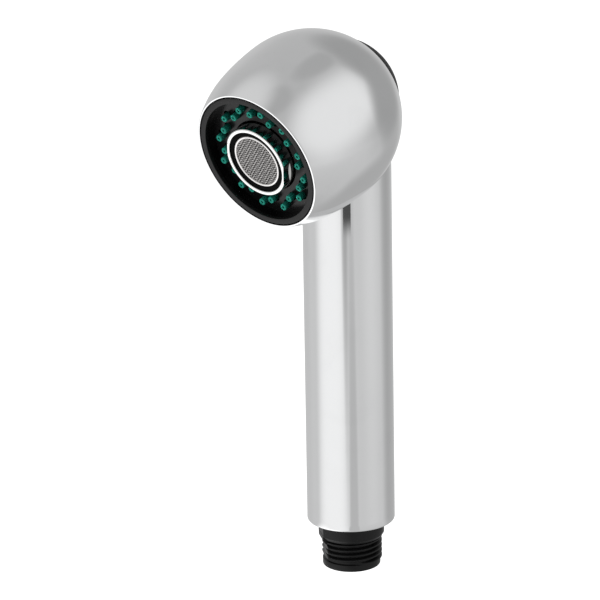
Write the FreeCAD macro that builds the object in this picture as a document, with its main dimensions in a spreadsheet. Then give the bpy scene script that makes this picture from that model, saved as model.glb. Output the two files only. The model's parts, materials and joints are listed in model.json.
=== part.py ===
import FreeCAD, Part
import Sketcher
import math
import os
import re

# A handheld bath sprayer: an egg-shaped spray head on a straight round handle with a G1/2 inlet.
# Millimetres. The origin is the centre of the inlet's end face and +Z runs up the handle.
# Parts of the handle are turned about +Z. Parts of the head are turned about the head's axis,
# whose local +Z ("along") points out of the face, tilted down from level by head_tilt.

Vector = FreeCAD.Vector

SIZES = {
    # handle
    "handle_r": (15.0, "outside of the handle"),
    "handle_wall": (2.0, "wall of the handle sleeve"),
    "handle_low": (16.45, "height of the handle's bottom edge"),
    "handle_edge": (0.8, "round of the bottom edge"),
    "handle_floor": (3.0, "thickness of the sleeve's bottom web"),
    "shoulder_drop": (25.4, "how far below the head's axis the handle's rounded top begins"),
    "head_height": (167.5, "where the head's axis crosses the handle's axis"),
    "head_tilt": (17.5, "degrees the face looks down"),
    "joint_gap": (0.08, "seam between sleeve and head shell"),
    # head shell, along its own axis
    "egg_swell": (5.95, "how much wider the head is than the bore that holds the face"),
    "egg_wide_along": (19.0, "where the head is widest"),
    "egg_back_arc": (32.2, "profile radius behind the widest place"),
    "egg_front_arc": (93.2, "profile radius in front of it"),
    "egg_brow_along": (33.4, "where the brow arc begins"),
    "rim_edge": (0.58, "width of the face rim"),
    "rim_along": (46.45, "plane of the face rim"),
    "shell_wall": (2.0, "wall of the head shell"),
    "land_along": (34.0, "rear end of that bore"),
    "rear_open_r": (17.55, "opening for the rear button"),
    "rear_lip": (0.55, "width of the lip round that opening"),
    "neck_r": (12.6, "spigot that centres the sleeve"),
    "neck_bore": (11.0, "inside of the spigot"),
    "neck_drop": (39.5, "how far below the head's axis the spigot ends"),
    "neck_seat_drop": (23.7, "how far below the head's axis the valve boss sits"),
    "neck_web": (2.0, "thickness of that seat"),
    # inlet: G1/2 thread, collar, riser
    "crest_r": (10.4775, "thread crest, half of 20.955"),
    "root_r": (9.316, "thread root, half of 18.631"),
    "pitch": (1.814, "thread pitch"),
    "crest_flat": (0.45, "width of a crest"),
    "root_flat": (0.2, "width of a root"),
    "crest_count": (5, "number of thread ridges"),
    "nose_r": (9.9, "plain nose below the thread"),
    "nose_chamfer": (0.5, "chamfer of the nose"),
    "thread_from": (1.9, "height where the thread begins"),
    "collar_r": (11.35, "collar under the handle"),
    "collar_low": (11.0, "lower face of the collar"),
    "collar_taper": (0.6, "taper of the collar's lower edge"),
    "collar_flat": (10.7, "distance of the collar's flats from the axis"),
    "moulding_flat": (9.35, "distance of the thread's moulding flat from the axis"),
    "flat_turn": (234.0, "direction of that flat, in degrees"),
    "inlet_bore": (7.2, "bore that holds the check valve"),
    "inlet_bore_top": (22.0, "upper end of that bore"),
    "tail_r": (9.0, "tube inside the sleeve's web"),
    "tail_top": (27.0, "upper end of that tube"),
    "riser_r": (6.6, "outside of the riser"),
    "riser_bore": (5.0, "inside of the riser"),
    # check valve and filter
    "check_r": (7.1, "outside of the check valve body"),
    "check_low": (3.0, "lower face of the check valve"),
    "check_top": (21.7, "upper face of the check valve"),
    "check_wall": (1.2, "wall of the check valve"),
    "check_floor": (2.0, "thickness of its seat"),
    "check_seat_r": (3.6, "hole in its seat"),
    "check_lift": (3.0, "how far the poppet lifts"),
    "poppet_r": (4.9, "poppet disc"),
    "poppet_disc": (1.2, "thickness of the poppet disc"),
    "poppet_nose_r": (2.9, "boss under the disc"),
    "poppet_stem_r": (1.2, "poppet stem"),
    "check_seal": (1.2, "thickness of the poppet's seal"),
    "guide_low": (18.0, "lower face of the stem guide"),
    "guide_thick": (2.0, "thickness of the stem guide"),
    "guide_hole_r": (1.0, "flow hole of the guide"),
    "guide_holes": (6, "number of flow holes"),
    "check_spring_r": (3.0, "mean radius of the check spring"),
    "check_wire": (0.25, "wire radius of the check spring"),
    "check_turns": (5.0, "turns of the check spring"),
    "filter_low": (0.8, "lower face of the inlet filter"),
    "filter_ring": (1.5, "height of the filter's ring"),
    "filter_bar": (0.6, "width of a filter bar"),
    "filter_bars": (5, "bars each way"),
    # valve body
    "bore_r": (9.0, "bore for the piston"),
    "rear_bore_r": (10.4, "bore for the gland cap"),
    "barrel_r": (12.4, "outside of the barrel"),
    "barrel_rear": (-6.0, "rear end of the barrel"),
    "seat_hole_r": (6.0, "hole through each valve seat"),
    "chamber_along": (3.5, "rear end of the valve chamber"),
    "seat_wall": (1.5, "thickness of each valve seat"),
    "flange_along": (28.5, "rear face of the flange"),
    "flange_thick": (2.5, "thickness of the flange"),
    "flange_room": (0.3, "room round flange and skirt"),
    "skirt_wall": (1.95, "wall of the skirt"),
    "skirt_front": (38.5, "front end of skirt and ring wall"),
    "ring_room": (0.7, "room between housing and ring wall"),
    "ring_wall": (1.5, "thickness of the ring wall"),
    "gallery_stand": (3.8, "distance of each gallery from the barrel's outside"),
    "gallery_r": (2.6, "outside of a gallery"),
    "gallery_bore": (1.5, "inside of a gallery"),
    "gallery_rear": (-0.9, "rear end of a gallery"),
    "gallery_feed": (1.1, "radius of the feed hole"),
    "feed_along": (0.9, "place of the feed holes"),
    "boss_r": (8.6, "boss that takes the riser"),
    "boss_drop": (9.5, "how far below the head's axis the boss ends, inside the barrel"),
    "socket_drop": (18.0, "how far below the head's axis the riser's socket ends"),
    "window_r": (3.2, "hole from socket to chamber"),
    "riser_seal": (1.2, "thickness of the riser's washer"),
    # gland, seats and moving valve
    "gland_rear": (-7.6, "rear face of the gland cap"),
    "gland_floor": (-5.0, "floor of the spring pocket"),
    "gland_pocket_r": (7.6, "radius of the spring pocket"),
    "gland_front": (-1.5, "front face of the gland's body"),
    "gland_skirt": (1.5, "wall of the gland's skirt"),
    "seal_seat": (1.8, "depth of the stem seal's seat"),
    "stem_r": (4.0, "stem"),
    "stem_seal_wire": (0.9, "section radius of the stem seal"),
    "cap_seal_wire": (0.7, "section radius of the cap seal"),
    "cap_seal_along": (-3.6, "place of the cap seal"),
    "shuttle_r": (8.4, "rubber washers on the stem"),
    "washer_thick": (1.4, "thickness of each washer"),
    "stem_flange_r": (6.8, "flange between the washers"),
    "stem_flange": (1.2, "thickness of that flange"),
    "spigot_r": (3.4, "front end of the stem"),
    "spigot_front": (17.8, "front end of the stem, along"),
    "press_travel": (3.5, "how far the button is pressed"),
    "seat_gap": (0.1, "gap between washer and seat at each end"),
    "tip_r": (2.8, "rear end of the stem"),
    # rear button and its spring
    "dome_arc": (20.8, "outer radius of the dome"),
    "dome_r": (17.3, "edge of the dome"),
    "dome_apex": (-16.0, "rearmost point of the dome"),
    "dome_wall": (1.6, "wall of the dome"),
    "button_skirt_front": (-5.0, "front end of the button's skirt"),
    "hub_r": (4.9, "hub that grips the stem"),
    "hub_front": (-9.6, "front end of the hub"),
    "hub_floor": (-13.9, "bottom of the hub's hole"),
    "spring_pad": (-12.6, "face that the spring bears on"),
    "spring_r": (6.1, "mean radius of the return spring"),
    "spring_wire": (0.35, "wire radius of the return spring"),
    "spring_turns": (3.5, "turns of the return spring"),
    "spring_rest": (0.1, "gap at each end of a spring"),
    # piston and aerator
    "piston_r": (8.93, "outside of the piston tube"),
    "piston_bore": (7.0, "inside of the piston tube"),
    "piston_rear": (14.0, "rear end of the piston tube"),
    "piston_hub_r": (4.6, "hub of the piston"),
    "piston_hub_rear": (13.2, "rear end of the hub"),
    "piston_web_rear": (15.0, "rear face of the web"),
    "piston_web": (2.0, "thickness of the web"),
    "web_hole_r": (0.95, "flow hole of the web"),
    "web_holes": (8, "number of flow holes"),
    "ring_seal_wire": (0.55, "section radius of the piston seal"),
    "ring_seal_along": (20.4, "place of the piston seal"),
    "head_rear": (32.0, "rear face of the piston's thread end"),
    "head_front": (38.0, "front face of the piston's thread end"),
    "housing_r": (12.4, "outside of the aerator housing"),
    "housing_wall": (0.95, "wall of the housing"),
    "housing_rear": (33.9, "rear end of the housing"),
    "housing_front": (46.95, "front face of the housing"),
    "housing_lip": (1.1, "thickness of its front lip"),
    "housing_brim": (1.3, "width of the lip's front face, bevel included"),
    "housing_bevel": (0.4, "bevel of the lip"),
    "wrench_cut": (0.55, "how deep the wrench flats are cut"),
    "wrench_depth": (3.3, "length of the wrench flats along the axis"),
    "wrench_turn": (-15.0, "direction of the wrench flats, in degrees"),
    "gasket_thick": (1.2, "aerator gasket"),
    "cage_wall": (1.85, "wall of the aerator's cage"),
    "cage_front": (46.4, "front face of the cage"),
    "ledge_along": (43.6, "ledge that carries the aerator's rim"),
    "ledge_thick": (0.8, "thickness of the ledge"),
    "ledge_width": (0.9, "width of the ledge"),
    "core_thick": (3.0, "thickness of the jet core"),
    "jet_r": (0.6, "jet hole of the core"),
    "jet_ring_r": (6.0, "distance of the jets from the axis"),
    "jets": (12, "number of jets"),
    "screen_thick": (0.4, "thickness of an inner screen"),
    "rim_wall": (0.85, "width of the aerator's steel rim"),
    "mesh_thick": (0.3, "thickness of the woven mesh"),
    "mesh_inset": (0.3, "how far the mesh lies behind the rim's face"),
    # face
    "mat_thick": (1.2, "thickness of the nozzle mat"),
    "mat_room": (0.2, "room between ring wall and nozzle mat"),
    "mat_inset": (0.65, "how far the mat stays inside the shell's bore"),
    "plate_thick": (2.0, "thickness of the face plate"),
    "plate_front": (41.9, "front of the face plate"),
    "plate_room": (0.56, "room round the housing in the face plate"),
    "plate_rim": (43.4, "front of its threaded rim"),
    "wall_stand": (3.5, "distance of that wall from the outer nozzles"),
    "wall_thick": (1.0, "thickness of that wall"),
    "wall_front": (44.8, "front of that wall"),
    "bumper_play": (0.11, "radial clearance of the bumper ring"),
    "bumper_width": (2.45, "from the wall to the shell's bore"),
    "bumper_thick": (1.5, "thickness of the bumper's front flange"),
    "nozzles": (12, "nozzles in each of two rings"),
    "inner_stand": (3.24, "distance of the inner nozzles from the centre hole"),
    "ring_step": (2.0, "distance from the inner to the outer nozzles"),
    "nozzle_foot_r": (1.4, "nozzle at the mat"),
    "nozzle_tip_r": (1.18, "nozzle at its tip"),
    "nozzle_front": (44.4, "tips of the nozzles"),
    "nozzle_hole_r": (0.4, "hole of a nozzle"),
    # clearances
    "slip": (0.1, "radial clearance of pieces that screw or drop together"),
    "running": (0.05, "radial clearance of running fits"),
    "face_gap": (0.1, "gap between clamped faces"),
    "button_room": (0.4, "room round the pressed button"),
}

# Sizes that follow from others, each written in sizes.
TIED = {
    # heights below the head's axis
    "shoulder_at": "head_height - shoulder_drop",
    "neck_low": "head_height - neck_drop",
    "neck_top": "head_height - neck_seat_drop",
    "boss_top": "head_height - boss_drop",
    "socket_top": "head_height - socket_drop",
    # radii of the face, from the aerator housing outwards
    "gallery_turn_r": "barrel_r + gallery_stand",
    "housing_bore": "housing_r - housing_wall",
    "housing_mouth": "housing_r - housing_brim",
    "wrench_flat": "housing_r - wrench_cut",
    "cage_nose": "housing_mouth - slip",
    "plate_hole": "housing_r + plate_room",
    "ring_wall_r": "housing_r + ring_room",
    "mat_inner": "ring_wall_r + mat_room",
    "inner_ring_r": "plate_hole + inner_stand",
    "outer_ring_r": "inner_ring_r + ring_step",
    "wall_r": "outer_ring_r + wall_stand",
    "land_r": "wall_r + bumper_width",
    "flange_r": "land_r - flange_room",
    "mat_outer": "land_r - mat_inset",
    "plate_r": "land_r - slip",
    "bumper_r": "land_r - bumper_play",
    "egg_r": "land_r + egg_swell",
    "rim_r": "land_r + rim_edge",
    # the brow arc, which leaves the front arc smoothly and ends at the rim
    "brow_lean": "(egg_brow_along - egg_wide_along) / egg_front_arc",
    "brow_fall": "egg_r - egg_front_arc * (1 - sqrt(1 - brow_lean ^ 2)) - rim_r",
    "brow_run": "rim_along - egg_brow_along",
    "egg_brow_arc": "(brow_fall ^ 2 + brow_run ^ 2)"
                    " / (2 * (sqrt(1 - brow_lean ^ 2) * brow_fall - brow_lean * brow_run))",
}

# Places that follow from the sizes.
SEAT_FRONT = "(chamber_along + 2 * washer_thick + stem_flange + press_travel + 2 * seat_gap)"
SHUTTLE_REAR = "(chamber_along + seat_gap)"
SHUTTLE_FRONT = "(chamber_along + seat_gap + 2 * washer_thick + stem_flange)"
FLANGE_FRONT = "(flange_along + flange_thick)"
MAT_REAR = "(skirt_front + face_gap)"
MAT_FRONT = "(skirt_front + face_gap + mat_thick)"
PLATE_REAR = "(plate_front - plate_thick)"
WINDOW_ALONG = "((chamber_along + %s) / 2)" % SEAT_FRONT
CAGE_R = "(housing_bore - slip)"
CAGE_BORE = "(housing_bore - slip - cage_wall)"
CAGE_REAR = "(head_front + gasket_thick + 2 * face_gap)"
CHECK_FLOOR = "(check_low + check_floor)"
POPPET_LOW = "(check_low + check_floor + face_gap + check_seal)"
POPPET_TOP = "(check_low + check_floor + face_gap + check_seal + poppet_disc)"
RISER_TOP = "(socket_top - riser_seal)"
EGG_BACK_CENTRE = "(egg_r - egg_back_arc)"
EGG_FRONT_CENTRE = "(egg_r - egg_front_arc)"
BROW_STEP = "(egg_brow_along - egg_wide_along)"
BROW_RISE = "sqrt(egg_front_arc ^ 2 - %s ^ 2)" % BROW_STEP
BROW_SHARE = "((egg_front_arc - egg_brow_arc) / egg_front_arc)"
BROW_CENTRE_R = "(%s + %s * %s)" % (EGG_FRONT_CENTRE, BROW_RISE, BROW_SHARE)
BROW_CENTRE_ALONG = "(egg_wide_along + %s * %s)" % (BROW_STEP, BROW_SHARE)

doc = FreeCAD.newDocument("bath_sprayer")
sheet = doc.addObject("Spreadsheet::Sheet", "Sizes")


def fill_sheet():
    """Writes every driving dimension as a named cell."""
    for row, (name, (value, note)) in enumerate(SIZES.items(), 1):
        sheet.set("A%d" % row, name)
        sheet.set("B%d" % row, repr(value))
        sheet.set("C%d" % row, note)
        sheet.setAlias("B%d" % row, name)
    doc.recompute()


def spelled(expression):
    """The expression with each tied size written out in driving sizes."""

    def driving(match):
        word = match.group(0)
        return "(%s)" % spelled(TIED[word]) if word in TIED else word

    return re.sub(r"[a-z_]+", driving, expression)


def bound(expression):
    """The expression with each size written as a cell of the sheet."""

    def cell(match):
        word = match.group(0)
        return "Sizes." + word if word in SIZES else word

    return re.sub(r"[a-z_]+", cell, spelled(expression))


def size(expression):
    """The number an expression of sizes has now."""
    return float(sheet.evalExpression(spelled(expression)))


def count(name):
    return int(round(size(name)))


# ---------------------------------------------------------------- frames

def handle_frame():
    return FreeCAD.Placement()


def head_frame():
    turn = FreeCAD.Rotation(Vector(1, 0, 0), 90 + size("head_tilt"))
    return FreeCAD.Placement(Vector(0, 0, size("head_height")), turn)


def set_frame(thing, frame):
    """Puts an object in the handle's or the head's frame, bound to the sheet for the head."""
    thing.Placement = frame()
    if frame is head_frame:
        thing.setExpression("Placement.Base.z", bound("head_height"))
        thing.setExpression("Placement.Rotation.Angle", bound("90 + head_tilt"))


# ---------------------------------------------------------------- building blocks

def origin_plane(body, role):
    return [item for item in body.Origin.OriginFeatures if item.Role == role][0]


def new_sketch(body, name, role):
    sketch = body.newObject("Sketcher::SketchObject", name)
    sketch.AttachmentSupport = [(origin_plane(body, role), "")]
    sketch.MapMode = "FlatFace"
    return sketch


def arc_between(start, end, radius):
    """The arc from start to end whose centre lies nearer the axis, and whether it runs backwards."""
    middle = (start + end) * 0.5
    half = (end - start) * 0.5
    reach = math.sqrt(max(radius ** 2 - half.Length ** 2, 0.0))
    side = Vector(-half.y, half.x, 0).normalize() * reach
    centre = min(middle + side, middle - side, key=lambda point: point.x)
    first = math.atan2(start.y - centre.y, start.x - centre.x)
    last = math.atan2(end.y - centre.y, end.x - centre.x)
    circle = Part.Circle(centre, Vector(0, 0, 1), radius)
    turn = (last - first) % (2 * math.pi)
    if turn <= math.pi:
        return Part.ArcOfCircle(circle, first, first + turn), False
    return Part.ArcOfCircle(circle, last, last + 2 * math.pi - turn), True


def pin_point(sketch, edge, end, axis, expression):
    """Holds one coordinate of a point at an expression of sizes."""
    value = size(expression)
    kind = "DistanceX" if axis == "x" else "DistanceY"
    if abs(value) < 1e-9:
        line = -2 if axis == "x" else -1
        sketch.addConstraint(Sketcher.Constraint("PointOnObject", edge, end, line))
        return
    index = sketch.addConstraint(Sketcher.Constraint(kind, -1, 1, edge, end, value))
    sketch.setExpression("Constraints[%d]" % index, bound(expression))


def draw_outline(sketch, outline):
    """Draws a closed outline of (across, along) or (across, along, arc radius) points.

    The arc radius belongs to the edge that arrives at its point.
    """
    points = [Vector(size(point[0]), size(point[1]), 0) for point in outline]
    ends = []
    for index, point in enumerate(outline):
        start = points[index - 1]
        backwards = False
        if len(point) == 3:
            shape, backwards = arc_between(start, points[index], size(point[2]))
        else:
            shape = Part.LineSegment(start, points[index])
        edge = sketch.addGeometry(shape, False)
        ends.append((edge, 2, 1) if backwards else (edge, 1, 2))
    for index, point in enumerate(outline):
        edge, start_end, far_end = ends[index]
        previous, _, joined_end = ends[index - 1]
        sketch.addConstraint(Sketcher.Constraint("Coincident", previous, joined_end, edge, start_end))
        pin_point(sketch, edge, far_end, "x", point[0])
        pin_point(sketch, edge, far_end, "y", point[1])
        if len(point) == 3:
            radius = sketch.addConstraint(Sketcher.Constraint("Radius", edge, size(point[2])))
            sketch.setExpression("Constraints[%d]" % radius, bound(point[2]))


def turned(name, outline, frame):
    """A body turned about its frame's axis from an outline of (radius, along) points."""
    body = doc.addObject("PartDesign::Body", name)
    sketch = new_sketch(body, name + "_outline", "XZ_Plane")
    draw_outline(sketch, outline)
    turn = body.newObject("PartDesign::Revolution", name + "_turn")
    turn.Profile = sketch
    turn.ReferenceAxis = (sketch, ["V_Axis"])
    turn.Angle = 360
    set_frame(body, frame)
    return body


def ring(name, inner, outer, low, high, frame):
    """A plain ring."""
    outline = [(inner, low), (outer, low), (outer, high), (inner, high)]
    return turned(name, outline, frame)


def circle_sketch(body, name, across, along, radius, turn="0"):
    """A circle on the body's cross plane, off its axis and turned about it."""
    sketch = new_sketch(body, name, "XY_Plane")
    sketch.AttachmentOffset = FreeCAD.Placement(
        Vector(0, 0, size(along)), FreeCAD.Rotation(Vector(0, 0, 1), size(turn))
    )
    sketch.setExpression("AttachmentOffset.Base.z", bound(along))
    circle = Part.Circle(Vector(size(across), 0, 0), Vector(0, 0, 1), size(radius))
    edge = sketch.addGeometry(circle, False)
    pin_point(sketch, edge, 3, "x", across)
    pin_point(sketch, edge, 3, "y", "0")
    index = sketch.addConstraint(Sketcher.Constraint("Radius", edge, size(radius)))
    sketch.setExpression("Constraints[%d]" % index, bound(radius))
    return sketch


def repeated(body, feature, copies):
    """Repeats a feature about the body's axis."""
    pattern = body.newObject("PartDesign::PolarPattern", feature.Name + "_ring")
    pattern.Originals = [feature]
    pattern.Axis = (feature.Profile[0], ["N_Axis"])
    pattern.Angle = 360
    pattern.Occurrences = count(copies)
    body.Tip = pattern
    return pattern


def ring_of_holes(body, name, across, along, radius, copies, turn="0"):
    """Holes through the body from a plane in front of it, repeated about the axis."""
    doc.recompute()
    pocket = body.newObject("PartDesign::Pocket", name)
    pocket.Profile = circle_sketch(body, name + "_circle", across, along, radius, turn)
    pocket.Type = 1
    doc.recompute()
    return repeated(body, pocket, copies)


def rod(name, radius, length, frame, start=("0", "0", "0"), toward=Vector(0, 0, 1)):
    """A cylinder that starts at a point of the frame and runs a length toward a direction."""
    cylinder = doc.addObject("Part::Cylinder", name)
    cylinder.setExpression("Radius", bound(radius))
    cylinder.setExpression("Height", bound(length))
    local = FreeCAD.Placement(
        Vector(*[size(value) for value in start]), FreeCAD.Rotation(Vector(0, 0, 1), toward)
    )
    cylinder.Placement = frame().multiply(local)
    return cylinder


def block(name, lengths, frame, corner, turn="0"):
    """A box with a corner at a point of the frame, turned about the frame's axis."""
    box = doc.addObject("Part::Box", name)
    for side, length in zip(("Length", "Width", "Height"), lengths):
        box.setExpression(side, bound(length))
    about = FreeCAD.Placement(Vector(), FreeCAD.Rotation(Vector(0, 0, 1), size(turn)))
    local = FreeCAD.Placement(Vector(*[size(value) for value in corner]), FreeCAD.Rotation())
    box.Placement = frame().multiply(about).multiply(local)
    return box


def fused(name, pieces):
    whole = doc.addObject("Part::MultiFuse", name)
    whole.Shapes = pieces
    return whole


def cut(name, base, tools):
    """The base with every tool taken out of it."""
    rest = doc.addObject("Part::Cut", name)
    rest.Base = base
    rest.Tool = tools[0] if len(tools) == 1 else fused(name + "_tools", tools)
    return rest


def seal(name, centre_r, wire, along, frame):
    """An O-ring."""
    torus = doc.addObject("Part::Torus", name)
    torus.setExpression("Radius1", bound(centre_r))
    torus.setExpression("Radius2", bound(wire))
    place = FreeCAD.Placement(Vector(0, 0, size(along)), FreeCAD.Rotation())
    torus.Placement = frame().multiply(place)
    return torus


def coil(name, mean_r, wire, turns, low, high, frame):
    """A compression spring between two planes of the frame."""
    height = size(high) - size(low) - 2 * size(wire) - 2 * size("spring_rest")
    helix = Part.makeLongHelix(height / size(turns), height, size(mean_r))
    section = Part.Wire(
        [Part.makeCircle(size(wire), Vector(size(mean_r), 0, 0), Vector(0, 1, 0))]
    )
    spring = doc.addObject("Part::Feature", name)
    spring.Shape = Part.Wire(helix.Edges).makePipeShell([section], True, True)
    lift = Vector(0, 0, size(low) + size(wire) + size("spring_rest"))
    spring.Placement = frame().multiply(FreeCAD.Placement(lift, FreeCAD.Rotation()))
    return spring


# ---------------------------------------------------------------- the head's outline

def brow_r(along, inset):
    reach = "sqrt((egg_brow_arc - %s) ^ 2 - ((%s) - %s) ^ 2)" % (inset, along, BROW_CENTRE_ALONG)
    return "(%s + %s)" % (BROW_CENTRE_R, reach)


def rear_along(radius, inset):
    """Where the back arc, moved in by inset, has a given radius."""
    across = "((%s) - %s)" % (radius, EGG_BACK_CENTRE)
    return "(egg_wide_along - sqrt((egg_back_arc - %s) ^ 2 - %s ^ 2))" % (inset, across)


def brow_start(inset):
    """The point where front arc and brow arc meet, moved in by inset."""
    share = "((egg_front_arc - %s) / egg_front_arc)" % inset
    return (
        "(%s + %s * %s)" % (EGG_FRONT_CENTRE, BROW_RISE, share),
        "(egg_wide_along + %s * %s)" % (BROW_STEP, share),
    )


def outer_egg(grow):
    """The outer outline from the rear lip to the rim; grow moves it outwards."""
    inset = "(0 - %s)" % grow
    lip = "(rear_open_r + rear_lip + %s)" % grow
    brow = brow_start(inset)
    return [
        (lip, rear_along(lip, inset)),
        ("(egg_r + %s)" % grow, "egg_wide_along", "egg_back_arc + %s" % grow),
        (brow[0], brow[1], "egg_front_arc + %s" % grow),
        (brow_r("rim_along", inset), "rim_along", "egg_brow_arc + %s" % grow),
    ]


def shell_outline():
    brow = brow_start("shell_wall")
    return outer_egg("0") + [
        ("land_r", "rim_along"),
        ("land_r", "land_along"),
        (brow_r("land_along", "shell_wall"), "land_along"),
        (brow[0], brow[1], "egg_brow_arc - shell_wall"),
        ("(egg_r - shell_wall)", "egg_wide_along", "egg_front_arc - shell_wall"),
        ("rear_open_r", rear_along("rear_open_r", "shell_wall"), "egg_back_arc - shell_wall"),
        ("rear_open_r", rear_along("(rear_open_r + rear_lip)", "0")),
    ]


# ---------------------------------------------------------------- handset

def head_shell():
    egg = turned("head_egg", shell_outline(), head_frame)
    neck = turned("head_neck", [
        ("0", "neck_low"), ("neck_r", "neck_low"), ("neck_r", "neck_top"), ("0", "neck_top"),
    ], handle_frame)
    bore = rod("neck_bore_cut", "neck_bore", "neck_top - neck_web - neck_low + 5", handle_frame,
               ("0", "0", "neck_low - 5"))
    seat = rod("neck_seat_cut", "riser_r + 5 * slip", "boss_top - neck_low", handle_frame,
               ("0", "0", "neck_low"))
    boss = rod("neck_boss_cut", "boss_r + 4 * slip", "boss_top - neck_top", handle_frame,
               ("0", "0", "neck_top"))
    blank = fused("head_blank", [egg, neck])
    return cut("head_shell", blank, [bore, seat, boss])


def handle_sleeve():
    inner = "(handle_r - handle_wall)"
    hole = "(tail_r + slip)"
    tube = turned("sleeve_tube", [
        (hole, "handle_low"),
        ("handle_r - handle_edge", "handle_low"),
        ("handle_r", "handle_low + handle_edge", "handle_edge"),
        ("handle_r", "shoulder_at"),
        ("0", "shoulder_at + handle_r", "handle_r"),
        ("0", "shoulder_at + " + inner),
        (inner, "shoulder_at", inner),
        (inner, "handle_low + handle_floor"),
        (hole, "handle_low + handle_floor"),
    ], handle_frame)
    outline = outer_egg("joint_gap")
    egg = turned("sleeve_egg_cut", [("0", outline[0][1])] + outline + [("0", "rim_along")], head_frame)
    return cut("handle_sleeve", tube, [egg])


def thread_outline():
    """The ridges of the thread from its lower end upwards."""
    points = []
    rise = "((pitch - crest_flat - root_flat) / 2)"
    for ridge in range(count("crest_count")):
        start = "(thread_from + %d * pitch)" % ridge
        points.append(("root_r", start))
        points.append(("crest_r", "%s + %s" % (start, rise)))
        points.append(("crest_r", "%s + %s + crest_flat" % (start, rise)))
        points.append(("root_r", "%s + 2 * %s + crest_flat" % (start, rise)))
    return points


def inlet_tube():
    blank = turned("inlet_blank", [
        ("inlet_bore", "0"),
        ("nose_r - nose_chamfer", "0"),
        ("nose_r", "nose_chamfer"),
        ("nose_r", "thread_from - 0.3"),
        ("root_r", "thread_from - 0.1"),
    ] + thread_outline() + [
        ("root_r", "collar_low"),
        ("collar_r - collar_taper", "collar_low"),
        ("collar_r", "collar_low + 2 * collar_taper"),
        ("collar_r", "handle_low - face_gap"),
        ("tail_r", "handle_low - face_gap"),
        ("tail_r", "tail_top"),
        ("riser_r", "tail_top"),
        ("riser_r", RISER_TOP),
        ("riser_bore", RISER_TOP),
        ("riser_bore", "inlet_bore_top + 2"),
        ("inlet_bore", "inlet_bore_top"),
    ], handle_frame)
    reach = "2 * collar_r"
    flat = block("moulding_flat_cut", (reach, reach, "collar_low - thread_from + 0.3"), handle_frame,
                 ("moulding_flat", "0 - collar_r", "thread_from - 0.3"), "flat_turn")
    tools = [flat]
    for side in range(2):
        tools.append(block("collar_flat_cut_%d" % side, (reach, reach, "handle_low - collar_low + 1"),
                           handle_frame, ("collar_flat", "0 - collar_r", "collar_low - 1"),
                           "flat_turn + %d" % (180 * side)))
    return cut("inlet_tube", blank, tools)


def riser_washer():
    return ring("riser_washer", "riser_bore", "riser_r", RISER_TOP, "socket_top", handle_frame)


def inlet_filter():
    frame = ring("filter_frame", "inlet_bore - 1", "check_r", "filter_low",
                 "filter_low + filter_ring", handle_frame)
    disc = rod("filter_disc", "check_r - 0.5", "0.4 * filter_ring", handle_frame,
               ("0", "0", "filter_low"))
    pieces = []
    bars = count("filter_bars")
    for turn in ("0", "90"):
        for index in range(bars):
            across = "(%d - %d / 2) * 2 * inlet_bore / %d - filter_bar / 2" % (index * 2 + 1, bars * 2, bars * 2)
            pieces.append(block("filter_bar_%s_%d" % (turn, index),
                                ("2 * inlet_bore", "filter_bar", "0.4 * filter_ring"), handle_frame,
                                ("0 - inlet_bore", across, "filter_low"), turn))
    grid = doc.addObject("Part::Common", "filter_grid")
    grid.Base = fused("filter_bars_all", pieces)
    grid.Tool = disc
    return fused("inlet_filter", [frame, grid])


# ---------------------------------------------------------------- check valve

def check_valve_body():
    inner = "(check_r - check_wall)"
    return turned("check_valve_body", [
        ("check_seat_r", "check_low"),
        ("check_r", "check_low"),
        ("check_r", "check_top"),
        (inner, "check_top"),
        (inner, CHECK_FLOOR),
        ("check_seat_r", CHECK_FLOOR),
    ], handle_frame)


def check_valve_guide():
    body = ring("check_valve_guide", "poppet_stem_r + slip", "check_r - check_wall - running",
                "guide_low", "guide_low + guide_thick", handle_frame)
    ring_of_holes(body, "guide_flow", "(check_r - check_wall + poppet_stem_r) / 2",
                  "guide_low + guide_thick + 1", "guide_hole_r", "guide_holes")
    return body


def check_valve_poppet():
    return turned("check_valve_poppet", [
        ("0", "check_low + check_floor + 2 * face_gap"),
        ("poppet_nose_r", "check_low + check_floor + 2 * face_gap"),
        ("poppet_nose_r", POPPET_LOW),
        ("poppet_r", POPPET_LOW),
        ("poppet_r", POPPET_TOP),
        ("poppet_stem_r", POPPET_TOP),
        ("poppet_stem_r", "guide_low + guide_thick - 0.3"),
        ("0", "guide_low + guide_thick - 0.3"),
    ], handle_frame)


def check_valve_seal():
    return ring("check_valve_seal", "poppet_nose_r + running", "poppet_r - 0.2",
                CHECK_FLOOR + " + face_gap", POPPET_LOW, handle_frame)


def check_valve_spring():
    return coil("check_valve_spring", "check_spring_r", "check_wire", "check_turns",
                POPPET_TOP, "guide_low", handle_frame)


# ---------------------------------------------------------------- valve body and gland

def barrel_outline():
    return [
        ("rear_bore_r", "barrel_rear"),
        ("barrel_r", "barrel_rear"),
        ("barrel_r", "flange_along"),
        ("flange_r", "flange_along"),
        ("flange_r", "skirt_front"),
        ("flange_r - skirt_wall", "skirt_front"),
        ("flange_r - skirt_wall", FLANGE_FRONT),
        ("ring_wall_r + ring_wall", FLANGE_FRONT),
        ("ring_wall_r + ring_wall", "skirt_front"),
        ("ring_wall_r", "skirt_front"),
        ("ring_wall_r", FLANGE_FRONT),
        ("bore_r", FLANGE_FRONT),
        ("bore_r", SEAT_FRONT + " + seat_wall"),
        ("seat_hole_r", SEAT_FRONT + " + seat_wall"),
        ("seat_hole_r", SEAT_FRONT),
        ("bore_r", SEAT_FRONT),
        ("bore_r", "chamber_along"),
        ("rear_bore_r", "chamber_along"),
    ]


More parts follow.
